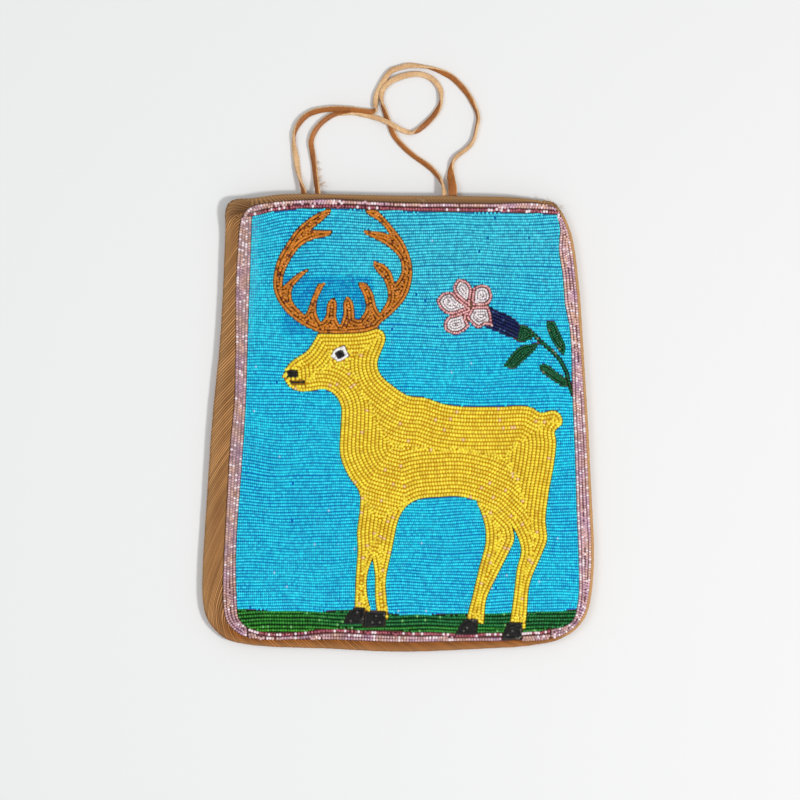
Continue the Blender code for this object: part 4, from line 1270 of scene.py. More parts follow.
class Beadwork:
    """One area of beads, sewn row by row on the front of the bag."""

    NARROW = 0.75
    NARROW_LEVELS = (0.9, 0.8, 0.7, 0.6, 0.5, 0.4, 0.3)
    OVERHANG = 0.00012
    LOWEST = 0.46
    CLOSE = 0.82
    BED_INSET = 0.00005
    BED_RIM = 0.0009
    BED_STEP = 0.003
    BED_SHARE = 0.38
    REACH = 1.2
    HOLE_EDGE = 0.3
    CONTOUR_RIM = 0.27
    LEVEL_RIM = 0.16
    LEVEL_GAP = 0.68
    ROW_STRAY = 0.00006
    BEAD_STRAY = 0.00004
    HEIGHT_STRAY = 0.00005
    TURNING = 0.05
    SIZE_STRAY = 0.035
    SMALLEST = 0.88
    LARGEST = 1.08
    MIDDLE_SHARE = 0.42
    TONES = (1.7, 1.3)

    def __init__(
        self, node: str, shape: BeadShape, plan: RowPlan, glass: bpy.types.Material, slot: str,
        seams: list[np.ndarray] | None = None, missing: float = 0.0, odd_and_glint: float = 0.0,
        lots: DyeLots | None = None, turn: float = 0.0, passing: bool = False,
    ) -> None:
        """Plans the beads.

        Args:
            node: The node of the frame that the beads replace.
            shape: The size of bead.
            plan: How the rows run.
            glass: The beads' material.
            slot: A name for the beads' finish; it is not used.
            seams: Lines inside the area that rows follow as they follow its edge.
            missing: The share of beads that have come off.
            odd_and_glint: The share of beads that take the glass's further colour: beads of another colour,
                and painted glints in the pink, plum, black and grass glass.
            lots: Where the beads are from another lot, or are darker.
            turn: The angle of level rows.
            passing: Whether rows pass holes as if they were not there.
        """
        self.node = node
        self.shape = shape
        self.plan = plan
        self.glass = glass
        self.slot = slot
        self.seams = seams or []
        self.missing = missing
        self.odd_and_glint = odd_and_glint
        self.lots = lots or DyeLots()
        self.turn = turn
        self.passing = passing
        self.chance = np.random.default_rng(sum(ord(letter) * place for place, letter in enumerate(node, 7)))

    def lay(self) -> tuple[np.ndarray, np.ndarray]:
        """Finds the place and the heading of each bead.

        Returns:
            The places and the headings.
        """
        area = Area.under(self.node)
        if self.plan is RowPlan.LEVEL:
            level = Area([turned(loop, -self.turn) for loop in area.loops])
            return tuple(turned(part, self.turn) for part in self.lay_level(level, SkyWave()))
        return self.lay_contour(area)

    def lay_level(self, area: Area, wave: SkyWave) -> tuple[np.ndarray, np.ndarray]:
        """Lays rows from side to side that wave gently.

        Args:
            area: The area.
            wave: The waves of the rows.

        Returns:
            The places and the headings.
        """
        starts, ends = [], []
        for loop in area.loops:
            fine = evenly(loop, max(8, round(line_length(loop, True) / 0.0006)), True)
            level = fine[:, 1].copy()
            for _ in range(4):
                level = fine[:, 1] - wave.rise(fine[:, 0], level)
            flat = np.stack([fine[:, 0], level], axis=1)
            starts.append(flat)
            ends.append(np.roll(flat, -1, axis=0))
        start, end = np.vstack(starts), np.vstack(ends)
        pitch = self.shape.pitch
        first = math.floor(start[:, 1].min() / pitch)
        last = math.ceil(start[:, 1].max() / pitch)
        places = []
        for row in range(first, last + 1):
            level = (row + 0.5) * pitch
            spans = (start[:, 1] > level) != (end[:, 1] > level)
            share = (level - start[spans, 1]) / (end[spans, 1] - start[spans, 1])
            across = np.sort(start[spans, 0] + share * (end[spans, 0] - start[spans, 0]))
            stray = self.chance.normal(0.0, self.ROW_STRAY)
            for left, right in zip(across[0::2] - self.OVERHANG, across[1::2] + self.OVERHANG):
                count = round((right - left) / self.shape.spacing)
                if count == 0:
                    continue
                step = (right - left) / count
                x = left + (np.arange(count) + 0.5) * step + self.chance.normal(0.0, self.BEAD_STRAY, count)
                places.append(np.stack([x, np.full(count, level + stray)], axis=1))
        flat = np.vstack(places)
        rise = wave.rise(flat[:, 0], flat[:, 1])
        ahead = wave.rise(flat[:, 0] + 0.0005, flat[:, 1])
        headings = np.stack([np.full(len(flat), 0.0005), ahead - rise], axis=1)
        headings /= np.linalg.norm(headings, axis=1, keepdims=True)
        flat[:, 1] += rise
        grid = DepthGrid(area, [])
        for place in flat:
            grid.put(place, pitch * self.REACH)
        more = grid.fill(pitch * self.LEVEL_RIM, 0.0, pitch * self.LEVEL_GAP)
        if more:
            flat = np.vstack([flat, more])
            headings = np.vstack([headings, np.tile([1.0, 0.0], (len(more), 1))])
        return flat, headings

    def lay_contour(self, area: Area) -> tuple[np.ndarray, np.ndarray]:
        """Lays rows that follow the outline, one inside the other, and fills what is left between them.

        Args:
            area: The area.

        Returns:
            The places and the headings.
        """
        grid = DepthGrid(area, self.seams, self.passing)
        pitch, close = self.shape.pitch, self.shape.spacing * self.CLOSE
        deepest = float(grid.depth.max())
        levels = np.arange(pitch / 2 - self.OVERHANG, deepest, pitch)
        if deepest < pitch * self.NARROW:
            levels = np.array([deepest * 0.98])
        levels = np.concatenate([levels, levels[0] * np.array(self.NARROW_LEVELS)])
        edge = pitch * self.HOLE_EDGE
        places = []
        for level in levels:
            for line in grid.lines_at(level):
                count = max(1, round(line_length(line, True) / self.shape.spacing))
                for place in evenly(line, count, True):
                    row, column = grid.cell(place)
                    if grid.nearest[row, column] > close and grid.clear[row, column] > edge:
                        grid.put(place, pitch * self.REACH)
                        places.append(place)
        places = np.array(places + grid.fill(pitch * self.CONTOUR_RIM, edge, close))
        return places, headings_of(places, grid.starts, grid.ends)

    def bed(self, form: BagForm) -> tuple[np.ndarray, np.ndarray, np.ndarray]:
        """Makes the low slab that closes the gaps between the beads; it takes the glass's darkest colour,
        partly the glass's own colour and partly painted shade in the gaps.

        Args:
            form: The form of the bag.

        Returns:
            The slab's points, its three-sided faces and its four-sided faces.
        """
        area = Area.under(self.node).drawn_in(self.BED_INSET, self.BED_RIM)
        flat, faces = area.filled(self.BED_STEP)
        count = len(flat)
        level = form.bead_bottom - form.drop(flat)
        top = np.column_stack([flat, level + self.shape.width * self.BED_SHARE])
        sides = {(int(face[turn]), int(face[(turn + 1) % 3])) for face in faces for turn in range(3)}
        rim = np.array([(start, end) for start, end in sides if (end, start) not in sides])
        walls = np.stack([rim[:, 0], rim[:, 0] + count, rim[:, 1] + count, rim[:, 1]], axis=1)
        points = np.vstack([top, np.column_stack([flat, level])])
        return points, np.vstack([faces, faces[:, ::-1] + count]), walls

    def build(self, form: BagForm) -> bpy.types.Object:
        """Makes the piece.

        Args:
            form: The form of the bag.

        Returns:
            The finished piece.
        """
        places, headings = self.lay()
        kept = self.chance.random(len(places)) >= self.missing
        places, headings = places[kept], headings[kept]
        count = len(places)
        turn = self.chance.normal(0.0, self.TURNING, count)
        headings = np.stack([
            headings[:, 0] * np.cos(turn) - headings[:, 1] * np.sin(turn),
            headings[:, 0] * np.sin(turn) + headings[:, 1] * np.cos(turn),
        ], axis=1)
        sizes = self.chance.normal(1.0, self.SIZE_STRAY, count).clip(self.SMALLEST, self.LARGEST)
        height = form.bead_bottom + self.shape.width * self.MIDDLE_SHARE - form.drop(places)
        height += self.chance.normal(0.0, self.HEIGHT_STRAY, count)
        points, faces, ends = self.shape.solids(
            np.column_stack([places, height]), headings, sizes, self.chance.normal(0.0, self.TURNING, count)
        )
        corners = len(self.shape.rings) * self.shape.sides
        bed_points, bed_faces, bed_walls = self.bed(form)
        every = np.vstack([places, bed_points[:, :2]])
        repeats = np.concatenate([np.full(count, corners), np.ones(len(bed_points), dtype=int)])
        # The bed's tone is zero, so it takes the glass's darkest colour: painted shade in the gaps between
        # the beads.
        bare = np.zeros(len(bed_points))
        light = self.LOWEST + (1.0 - self.LOWEST) * self.chance.beta(*self.TONES, count)
        tone = np.concatenate([light, bare]) - self.lots.shade(every)
        odd_and_glint = np.concatenate([self.chance.random(count) < self.odd_and_glint, bare])
        attributes = {
            "tone": np.repeat(tone, repeats),
            "lot": np.repeat(self.lots.other(every), repeats),
            "odd_and_glint": np.repeat(odd_and_glint, repeats),
        }
        groups = [faces, ends, bed_faces + len(points), bed_walls + len(points)]
        piece = new_piece(
            f"beads_{self.node}", np.vstack([points, bed_points]), groups, self.glass, attributes, 2
        )
        return dress(piece, self.node, f"{count} beads")


class BeadedFront:
    """All the beadwork of the front: sky, grass, elk, flower and border."""

    YELLOW = (srgb(196, 138, 0), srgb(255, 236, 66))
    SKY = BeadGlass(
        "sky_glass", srgb(0, 100, 190), srgb(28, 240, 255), srgb(170, 226, 246),
        (srgb(0, 104, 164), srgb(84, 242, 255)),
    )
    # The grass glass's pale green spot colour is a painted glint on some beads.
    GRASS = BeadGlass(
        "grass_glass", srgb(0, 32, 6), srgb(28, 134, 62), srgb(112, 190, 104),
        (srgb(0, 42, 0), srgb(66, 170, 36)),
    )
    ELK = BeadGlass("elk_glass", *YELLOW, srgb(238, 200, 140))
    ANTLERS = BeadGlass("antler_glass", srgb(66, 26, 0), srgb(220, 132, 26), srgb(120, 54, 6))
    # The black glass's grey spot colour is a painted glint: highlights on the hooves.
    BLACK = BeadGlass("black_glass", srgb(1, 1, 1), srgb(26, 25, 25), srgb(92, 86, 80), YELLOW, 0.1, 0.8)
    WHITE = BeadGlass("white_glass", srgb(214, 214, 216), srgb(254, 254, 254), srgb(236, 236, 238))
    # The pink glass's near-white spot colour is a painted glint: sparkle on some beads.
    PINK = BeadGlass(
        "pink_glass", srgb(112, 66, 62), srgb(246, 202, 182), srgb(244, 226, 230),
        (srgb(104, 62, 84), srgb(222, 180, 202)), 0.1, 0.5,
    )
    # The plum glass's near-white spot colour is a painted glint: highlights on many beads.
    PLUM = BeadGlass("plum_glass", srgb(76, 24, 38), srgb(184, 96, 108), srgb(244, 222, 228), None, 0.1, 0.5)
    PETAL_EDGE = BeadGlass("petal_edge_glass", srgb(140, 66, 78), srgb(244, 182, 182), srgb(246, 212, 208))
    PETAL = BeadGlass("petal_glass", srgb(134, 122, 126), srgb(250, 242, 244), srgb(172, 156, 158))
    NAVY = BeadGlass("navy_glass", srgb(0, 2, 24), srgb(8, 28, 94), srgb(52, 80, 126), None, 0.1)
    LEAF = BeadGlass("leaf_glass", srgb(0, 16, 4), srgb(12, 100, 56), srgb(140, 130, 90), None, 0.1)
    # Where the rows of the trunk pass over the tops of the legs.
    ELK_SEAMS = (
        ((-0.0232, -0.0420), (-0.0120, -0.0455), (0.0010, -0.0490)),
        ((0.0478, -0.0469), (0.0590, -0.0520), (0.0688, -0.0614)),
    )

    def works(self) -> list[Beadwork]:
        """Plans every area, by the beginning of its node's name.

        Returns:
            The areas, in the order of the nodes' names.
        """
        level, contour = RowPlan.LEVEL, RowPlan.CONTOUR
        seams = [np.array(seam) for seam in self.ELK_SEAMS]
        tube_turn = math.radians(-27.0)
        # In the grass, black, plum and pink areas the share of beads with the spot colour is a share of
        # painted glints.
        kinds = [
            ("sky_", FIELD_BEAD, level, self.SKY, "sky_beads", {
                "missing": 0.0006, "odd_and_glint": 0.0012, "lots": SkyLots(),
            }),
            ("grass_", GRASS_BEAD, level, self.GRASS, "grass_beads", {"odd_and_glint": 0.03, "lots": GrassLots()}),
            ("elk_body", FIGURE_BEAD, contour, self.ELK, "yellow_beads", {
                "seams": seams, "odd_and_glint": 0.02, "passing": True,
            }),
            ("elk_antlers", ANTLER_BEAD, contour, self.ANTLERS, "amber_beads", {"odd_and_glint": 0.06}),
            ("elk_eye_ring", TUBE_BEAD, contour, self.WHITE, "white_beads", {}),
            ("elk_mouth", TUBE_BEAD, contour, self.BLACK, "black_beads", {"lots": MouthLots()}),
            ("elk_nose", PETAL_BEAD, contour, self.BLACK, "black_beads", {"lots": NoseLots()}),
            ("elk_", TUBE_BEAD, contour, self.BLACK, "black_beads", {"odd_and_glint": 0.1}),
            ("border_top_inner", HEM_BEAD, contour, self.PLUM, "plum_beads", {"odd_and_glint": 0.3}),
            ("border_bottom_inner", HEM_BEAD, contour, self.PLUM, "plum_beads", {"odd_and_glint": 0.35}),
            ("border_left", SIDE_BEAD, contour, self.PINK, "pink_beads", {"odd_and_glint": 0.1, "lots": BorderLots()}),
            ("border_right", SIDE_BEAD, contour, self.PINK, "pink_beads", {
                "odd_and_glint": 0.18, "lots": BorderLots(),
            }),
            ("border_", HEM_BEAD, contour, self.PINK, "pink_beads", {"odd_and_glint": 0.15, "lots": BorderLots()}),
            ("flower_tube", TUBE_BEAD, level, self.NAVY, "navy_beads", {"odd_and_glint": 0.05, "turn": tube_turn}),
            ("flower_", PETAL_BEAD, contour, self.LEAF, "leaf_beads", {"odd_and_glint": 0.04}),
            ("leaf_", PETAL_BEAD, contour, self.LEAF, "leaf_beads", {"odd_and_glint": 0.03}),
        ]
        glasses = {}
        works = []
        for node in sorted(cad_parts):
            if node.startswith("petal_"):
                edge = node.endswith("_edge")
                glass = self.PETAL_EDGE if edge else self.PETAL
                slot = "pink_beads" if edge else "petal_beads"
                kind = ("", PETAL_BEAD, contour, glass, slot, {"odd_and_glint": 0.05})
            else:
                kind = next((kind for kind in kinds if node.startswith(kind[0])), None)
            if kind is None:
                continue
            _, shape, plan, glass, slot, extra = kind
            if glass.name not in glasses:
                glasses[glass.name] = glass.material()
            works.append(Beadwork(node, shape, plan, glasses[glass.name], slot, **extra))
        return works

    def build(self, form: BagForm) -> None:
        """Sews every area.

        Args:
            form: The form of the bag.
        """
        for work in self.works():
            work.build(form)


# Cloth


@dataclass
class ClothShell:
    """The ribbed cloth of the back, which is folded round three edges on to the front."""

    rib_pitch: float = 0.0023
    columns_a_rib: int = 4
    rib_height: float = 0.00035
    lean: float = -1.4
    thickness: float = 0.0010
    back_lip: float = 0.006
    back_rib: float = 0.00135
    back_turn: float = math.radians(35.0)
    back_rows: int = 9
    tuck: float = 0.0008
    front_rows: int = 8
    round_rows: int = 7
    bulge: float = 0.0078
    roundness: float = 0.8
    hem_overlap: float = 0.0008

    def ribs(self, columns: np.ndarray) -> np.ndarray:
        """Gives the height of the ribs at each column.

        Args:
            columns: The columns' numbers.

        Returns:
            A share between 0 and 1 for each column.
        """
        chance = np.random.default_rng(len(columns))
        each = chance.uniform(0.45, 1.0, len(columns) // self.columns_a_rib + 1)
        wave = 0.5 - 0.5 * np.cos(columns * 2 * math.pi / self.columns_a_rib)
        return wave * each[columns // self.columns_a_rib]

    def build_edge(self, form: BagForm, cloth: bpy.types.Material) -> bpy.types.Object:
        """Makes the folded edge: the strips beside the beads, the rounded sides and a lip on the back.

        Each column of points starts at the beads, runs over the strip, round the side and under it.
        The ribs lean, so a column turns a little round the bag for all that it runs on.

        Args:
            form: The form of the bag.
            cloth: The material.

        Returns:
            The piece.
        """
        columns = round(line_length(form.edge, True) / self.rib_pitch) * self.columns_a_rib
        outer = evenly(form.edge, columns, True)
        turns = np.unwrap(np.arctan2(outer[:, 1], outer[:, 0]))
        rib = self.ribs(np.arange(columns))
        lean = self.lean / np.hypot(*outer.T)
        width = form.reach_at(turns, form.edge_reach) - form.reach_at(turns, form.bead_reach)
        bulge = np.minimum(self.bulge, width * self.roundness)
        drop = form.drop(outer)
        low = (form.hem_bottom - drop) * form.openness(outer)
        tall = (form.fold_top - drop - low) / 2
        flat, up = np.zeros(columns), np.ones(columns)
        plan = []
        for share in np.linspace(0.0, 1.0, self.front_rows):
            plan.append((lean * (width - bulge) * (1.0 - share), bulge, None, flat, up))
        for turn in np.linspace(0.0, math.pi, self.round_rows + 1)[1:]:
            height = low + tall * (1.0 + math.cos(turn))
            run = -lean * (bulge * math.sin(min(turn, math.pi / 2)) + tall * max(turn - math.pi / 2, 0.0))
            inset = bulge * (1.0 - math.sin(turn))
            plan.append((run, inset, height, flat + math.sin(turn), up * math.cos(turn)))
        run = -lean * (bulge + tall * math.pi / 2 + self.back_lip)
        plan.append((run, bulge + self.back_lip, low, flat, -up))
        plan.append((run, bulge + self.back_lip + 0.0008, low + 0.0012, flat, -up))
        points = np.empty((columns, len(plan), 3))
        for number, (run, inset, height, outward, upward) in enumerate(plan):
            sheared = turns + run
            reach = form.reach_at(sheared, form.edge_reach) - inset + outward * (rib - 1.0) * self.rib_height
            share = number / (self.front_rows - 1)
            if share < 1.0:
                reach = reach * share + form.reach_at(sheared, form.bead_reach) * (1.0 - share)
            here = np.stack([np.cos(sheared) * reach, np.sin(sheared) * reach], axis=1)
            if height is None:
                height = form.fold_top - form.drop(here) - self.tuck * (number == 0)
            points[:, number] = np.column_stack([here, height + upward * (rib - 1.0) * self.rib_height])
        points[:, :, 2] = np.maximum(points[:, :, 2], 0.00005)
        return self.finish_edge(form, cloth, points, rib)

    def finish_edge(
        self, form: BagForm, cloth: bpy.types.Material, points: np.ndarray, rib: np.ndarray,
    ) -> bpy.types.Object:
        """Joins the edge's points into a sheet that leaves room for the hem, and gives it thickness.

        Args:
            form: The form of the bag.
            cloth: The material.
            points: The points, column by column.
            rib: The height of the ribs at each column.

        Returns:
            The piece.
        """
        columns, rows = points.shape[:2]
        faces = grid_faces(rows, columns, True)
        middle = points.reshape(-1, 3)[faces].mean(axis=1)
        left, right = form.hem_ends
        hem = (middle[:, 0] > left + self.hem_overlap) & (middle[:, 0] < right - self.hem_overlap)
        keep = ~(hem & (middle[:, 1] > form.hem_low - 0.01))
        wear_and_lit_side = np.full((columns, rows), 0.0)
        wear_and_lit_side[:, self.front_rows:self.front_rows + 3] = 0.2
        wear_and_lit_side[:, self.front_rows + 1] = 0.4
        # Paler towards the right side: painted light, where the key light falls.
        wear_and_lit_side = np.maximum(wear_and_lit_side, 0.8 * smoothstep((points[:, :, 0] - 0.09) / 0.015))
        attributes = {"rib": np.repeat(rib, rows), "wear_and_lit_side": wear_and_lit_side.ravel()}
        piece = new_piece("cloth_edge", points.reshape(-1, 3), [faces[keep][:, ::-1]], cloth, attributes)
        return thicken(piece, self.thickness, -1.0)

    def build_back(self, form: BagForm, cloth: bpy.types.Material) -> bpy.types.Object:
        """Makes the flat back, with straight ribs from edge to edge.

        Args:
            form: The form of the bag.
            cloth: The material.

        Returns:
            The piece.
        """
        open_share = form.openness(form.edge)
        inset = (self.back_lip + form.fold_top * 0.3) * (1.0 - open_share) + 0.0008 * open_share
        inner = form.around(form.edge_reach - inset)
        along = np.array([math.cos(self.back_turn), math.sin(self.back_turn)])
        across = np.array([-along[1], along[0]])
        start, end = closed_sides(inner[::4])
        low, high = (start @ across).min(), (start @ across).max()
        step = self.back_rib / self.columns_a_rib
        offsets = np.arange(low + step, high - step, step)
        columns = []
        for offset in offsets:
            spans = (start @ across > offset) != (end @ across > offset)
            share = (offset - start[spans] @ across) / ((end - start)[spans] @ across)
            reach = (start[spans] + share[:, None] * (end - start)[spans]) @ along
            places = np.linspace(reach.min(), reach.max(), self.back_rows)
            columns.append(places[:, None] * along + offset * across)
        flat = np.array(columns)
        rib = self.ribs(np.arange(len(offsets)))
        height = 0.0004 - rib * self.rib_height
        level = np.repeat(height[:, None], self.back_rows, axis=1)
        points = np.concatenate([flat, level[:, :, None]], axis=2)
        faces = grid_faces(self.back_rows, len(offsets), False)
        attributes = {
            "rib": np.repeat(rib, self.back_rows), "wear_and_lit_side": np.zeros(len(offsets) * self.back_rows),
        }
        piece = new_piece("cloth_back", points.reshape(-1, 3), [faces], cloth, attributes)
        return thicken(piece, self.thickness, -1.0)

    def build(self, form: BagForm, cloth: bpy.types.Material) -> None:
        """Makes and dresses the cloth.

        Args:
            form: The form of the bag.
            cloth: The material.
        """
        for piece in (self.build_edge(form, cloth), self.build_back(form, cloth)):
            dress(piece, form.CLOTH, f"{len(piece.data.polygons)} faces")


@dataclass
class MouthHem:
    """The strip of cloth that is folded over the canvas's edge at the mouth."""

    rib_pitch: float = 0.0021
    columns_a_rib: int = 4
    rib_height: float = 0.0003
    lean: float = 1.1
    thickness: float = 0.0008
    front_rows: int = 5
    fold_rows: int = 5
    inner_depth: float = 0.006
    gather_width: float = 0.008
    straight: float = 0.012
    tuck: float = 0.0007

    def build(self, form: BagForm, cloth: bpy.types.Material) -> bpy.types.Object:
        """Makes and dresses the hem.

        Args:
            form: The form of the bag.
            cloth: The material.

        Returns:
            The piece.
        """
        left, right = form.hem_ends
        count = round((right - left) / self.rib_pitch) * self.columns_a_rib
        x = np.linspace(left, right, count)
        rib = 0.5 - 0.5 * np.cos(np.arange(count) * 2 * math.pi / self.columns_a_rib)
        upper = [line[line[:, 1] > 0.1] for line in (form.around(form.bead_reach), form.edge)]
        upper = [line[np.argsort(line[:, 0])] for line in upper]
        low, high = (np.interp(x, line[:, 0], line[:, 1]) for line in upper)
        low += 0.0003
        radius = (form.fold_top - form.hem_bottom) / 2
        rows = []
        for row in range(self.front_rows):
            share = row / (self.front_rows - 1)
            level = form.fold_top - self.tuck * (row == 0)
            rows.append((low + (high - radius - low) * share, level, (0.0, 1.0)))
        for row in range(1, self.fold_rows + 1):
            turn = row / self.fold_rows * math.pi
            outward = (math.sin(turn), math.cos(turn))
            rows.append((
                high - radius + radius * outward[0], form.hem_bottom + radius * (1.0 + outward[1]), outward,
            ))
        rows.append((high - radius - self.inner_depth, form.hem_bottom, (0.0, -1.0)))
        gather = smoothstep((x - right + self.gather_width) / self.gather_width)
        ripple = gather * 0.0005 * np.sin(x / 0.0007)
        points = np.empty((count, len(rows), 3))
        for number, (y, z, outward) in enumerate(rows):
            lift = rib * self.rib_height - self.rib_height + ripple
            inside = smoothstep((x - left) / self.straight) * smoothstep((right - x) / self.straight)
            across = x + self.lean * (high - y) * (z > form.hem_bottom + radius) * inside
            flat = np.stack([across, y + outward[0] * lift], axis=1)
            points[:, number] = np.column_stack([flat, z + outward[1] * lift])
            points[:, number, 2] -= form.drop(flat)
        attributes = {
            "rib": np.repeat(rib, len(rows)),
            "wear_and_lit_side": np.tile([0.1, 0.1, 0.1, 0.2, 0.4] + [0.5] * self.fold_rows + [0.0], count),
        }
        faces = grid_faces(len(rows), count, False)
        piece = new_piece("cloth_mouth_hem", points.reshape(-1, 3), [faces], cloth, attributes)
        thicken(piece, self.thickness, -1.0)
        return dress(piece, "mouth_hem", f"{len(piece.data.polygons)} faces")


@dataclass
class CanvasPanel:
    """The canvas under the beads."""

    step: float = 0.004
    inset: float = 0.0022
    thickness: float = 0.0007
    rows: int = 26

    def build(self, form: BagForm, canvas: bpy.types.Material) -> bpy.types.Object:
        """Makes and dresses the canvas.

        Args:
            form: The form of the bag.
            canvas: The material.

        Returns:
            The piece.
        """
        outline = form.around(np.minimum(form.bead_reach + 0.0015, form.edge_reach - self.inset))
        columns = round(line_length(outline, True) / self.step)
        rim = evenly(outline, columns, True)
        shares = np.linspace(1.0, 0.02, self.rows)
        flat = rim[:, None, :] * shares[None, :, None]
        level = form.bead_bottom - 0.0001 - form.drop(flat.reshape(-1, 2)).reshape(columns, self.rows)
        points = np.concatenate([flat, level[:, :, None]], axis=2)
        faces = grid_faces(self.rows, columns, True)
        last = (np.arange(columns) * self.rows + self.rows - 1)[None, :]
        piece = new_piece("canvas", points.reshape(-1, 3), [faces, last], canvas)
        thicken(piece, self.thickness, -1.0)
        return dress(piece, "canvas_front", f"{len(piece.data.polygons)} faces")


# Handles


@dataclass
class Handle:
    """One leather thong that comes out of the mouth, lies in a loop and goes back in.

    Each row of the route gives the place of the thong's middle, its width and its twist. With no
    twist it lies flat with its brown face up; as it turns on, its right side rises.
    """

    node: str
    route: list[tuple[float, float, float, float, float]]
    thickness: float = 0.0020
    width: float = 0.0034
    samples: int = 300
    sides: int = 12

    def middle(self) -> np.ndarray:
        """Draws the smooth line through the route, with the widths and the twists on it.

        Returns:
            Its rows at even steps.
        """
        rows = np.array(self.route) * (0.001, 0.001, 0.001, 0.001, math.pi / 180)
        padded = np.vstack([2 * rows[0] - rows[1], rows, 2 * rows[-1] - rows[-2]])
        fine = []
        for before, start, end, after in zip(padded, padded[1:], padded[2:], padded[3:]):
            for t in np.linspace(0.0, 1.0, 12, endpoint=False):
                fine.append(
                    start + (end - before) / 2 * t
                    + (before - 2.5 * start + 2 * end - after / 2) * t**2
                    + (1.5 * start - before / 2 - 1.5 * end + after / 2) * t**3
                )
        fine = np.array(fine + [rows[-1]])
        run = np.concatenate([[0.0], np.cumsum(np.linalg.norm(np.diff(fine[:, :3], axis=0), axis=1))])
        steps = np.linspace(0.0, run[-1], self.samples)
        return np.stack([np.interp(steps, run, part) for part in fine.T], axis=1)

    def build(self, leather: bpy.types.Material) -> bpy.types.Object:
        """Makes and dresses the handle.

        Args:
            leather: The material.

        Returns:
            The piece.
        """
        rows = self.middle()
        middle, width, twist = rows[:, :3], rows[:, 3], rows[:, 4]
        chance = np.random.default_rng(len(self.route))
        rough = np.convolve(chance.normal(0.0, 1.0, self.samples + 4), np.ones(5) / 5, "valid")
        width = width * (1 + 0.08 * rough)
        ahead = np.gradient(middle, axis=0)
        ahead /= np.linalg.norm(ahead, axis=1, keepdims=True)
        side = np.cross(ahead, (0.0, 0.0, 1.0))
        side /= np.linalg.norm(side, axis=1, keepdims=True)
        up = np.cross(side, ahead)
        flat = side * np.cos(twist)[:, None] + up * np.sin(twist)[:, None]
        thin = up * np.cos(twist)[:, None] - side * np.sin(twist)[:, None]
        turns = np.arange(self.sides) * 2 * math.pi / self.sides
        girth = np.sign(np.cos(turns)) * np.abs(np.cos(turns)) ** 0.6
        depth = np.sign(np.sin(turns)) * np.abs(np.sin(turns)) ** 0.6
        points = (
            middle[:, None, :]
            + flat[:, None, :] * (girth[None, :] * width[:, None] / 2)[:, :, None]
            + thin[:, None, :] * (depth[None, :] * self.thickness / 2)[:, :, None]
        )
        low = points[:, :, 2].min(axis=1)
        lift = np.maximum(0.0001 - low, 0.0)
        points[:, :, 2] += lift[:, None]
        middle = middle + np.stack([lift * 0, lift * 0, lift], axis=1)
        flesh = np.where(np.sin(turns) > 0.3, np.where(np.sin(turns) > 0.6, 0.0, 0.5), 1.0)
        groups = list(tube_faces(self.sides, self.samples))
        attributes = {"flesh": np.tile(flesh, self.samples)}
        piece = new_piece(f"leather_{self.node}", points.reshape(-1, 3), groups, leather, attributes)
        length = line_length(middle, False)
        dress(piece, self.node, f"{length:.3f} m long")
        return piece


# The routes are in millimetres, with the twists in degrees.
OUTER_ROUTE = [
    (-57.0, 130.0, 5.2, 3.4, 20), (-57.0, 134.5, 5.2, 3.8, 30), (-57.3, 140.3, 5.0, 4.0, 42),
    (-59.0, 146.2, 3.2, 3.8, 80), (-61.0, 154.0, 1.6, 3.5, 130), (-62.1, 161.4, 1.4, 3.4, 170),
    (-63.6, 171.5, 1.5, 3.0, 245), (-62.2, 179.3, 1.5, 3.3, 305), (-57.3, 186.2, 1.6, 3.6, 330),
    (-50.6, 189.8, 2.0, 3.6, 332), (-41.5, 191.2, 2.8, 3.6, 332), (-32.3, 191.3, 3.2, 3.5, 332),
    (-23.2, 190.4, 3.2, 3.3, 336), (-16.2, 189.6, 2.6, 3.2, 350), (-13.4, 191.2, 2.2, 2.8, 440),
    (-13.9, 194.6, 1.6, 3.0, 520), (-12.2, 201.9, 1.4, 3.3, 535), (-5.5, 213.3, 1.3, 3.2, 540),
    (1.2, 216.6, 1.3, 3.2, 545), (8.5, 217.9, 1.3, 3.2, 570), (20.1, 216.3, 1.5, 3.3, 640),
    (30.8, 212.0, 1.4, 3.5, 690), (36.8, 207.2, 1.4, 3.6, 692), (42.0, 201.2, 1.4, 3.5, 688),
    (45.6, 195.2, 1.5, 3.3, 672),
    (48.8, 186.7, 1.6, 3.0, 650), (47.8, 179.6, 1.6, 2.8, 640), (46.1, 172.6, 1.6, 2.8, 625),
    (42.7, 167.8, 1.5, 2.8, 600), (35.9, 162.5, 1.5, 2.8, 600), (32.8, 157.4, 1.6, 3.4, 650),
    (32.2, 150.7, 2.0, 4.6, 708), (33.2, 143.0, 4.6, 5.4, 715), (33.3, 136.2, 5.2, 5.0, 718),
    (33.3, 130.0, 5.2, 3.8, 720),
]
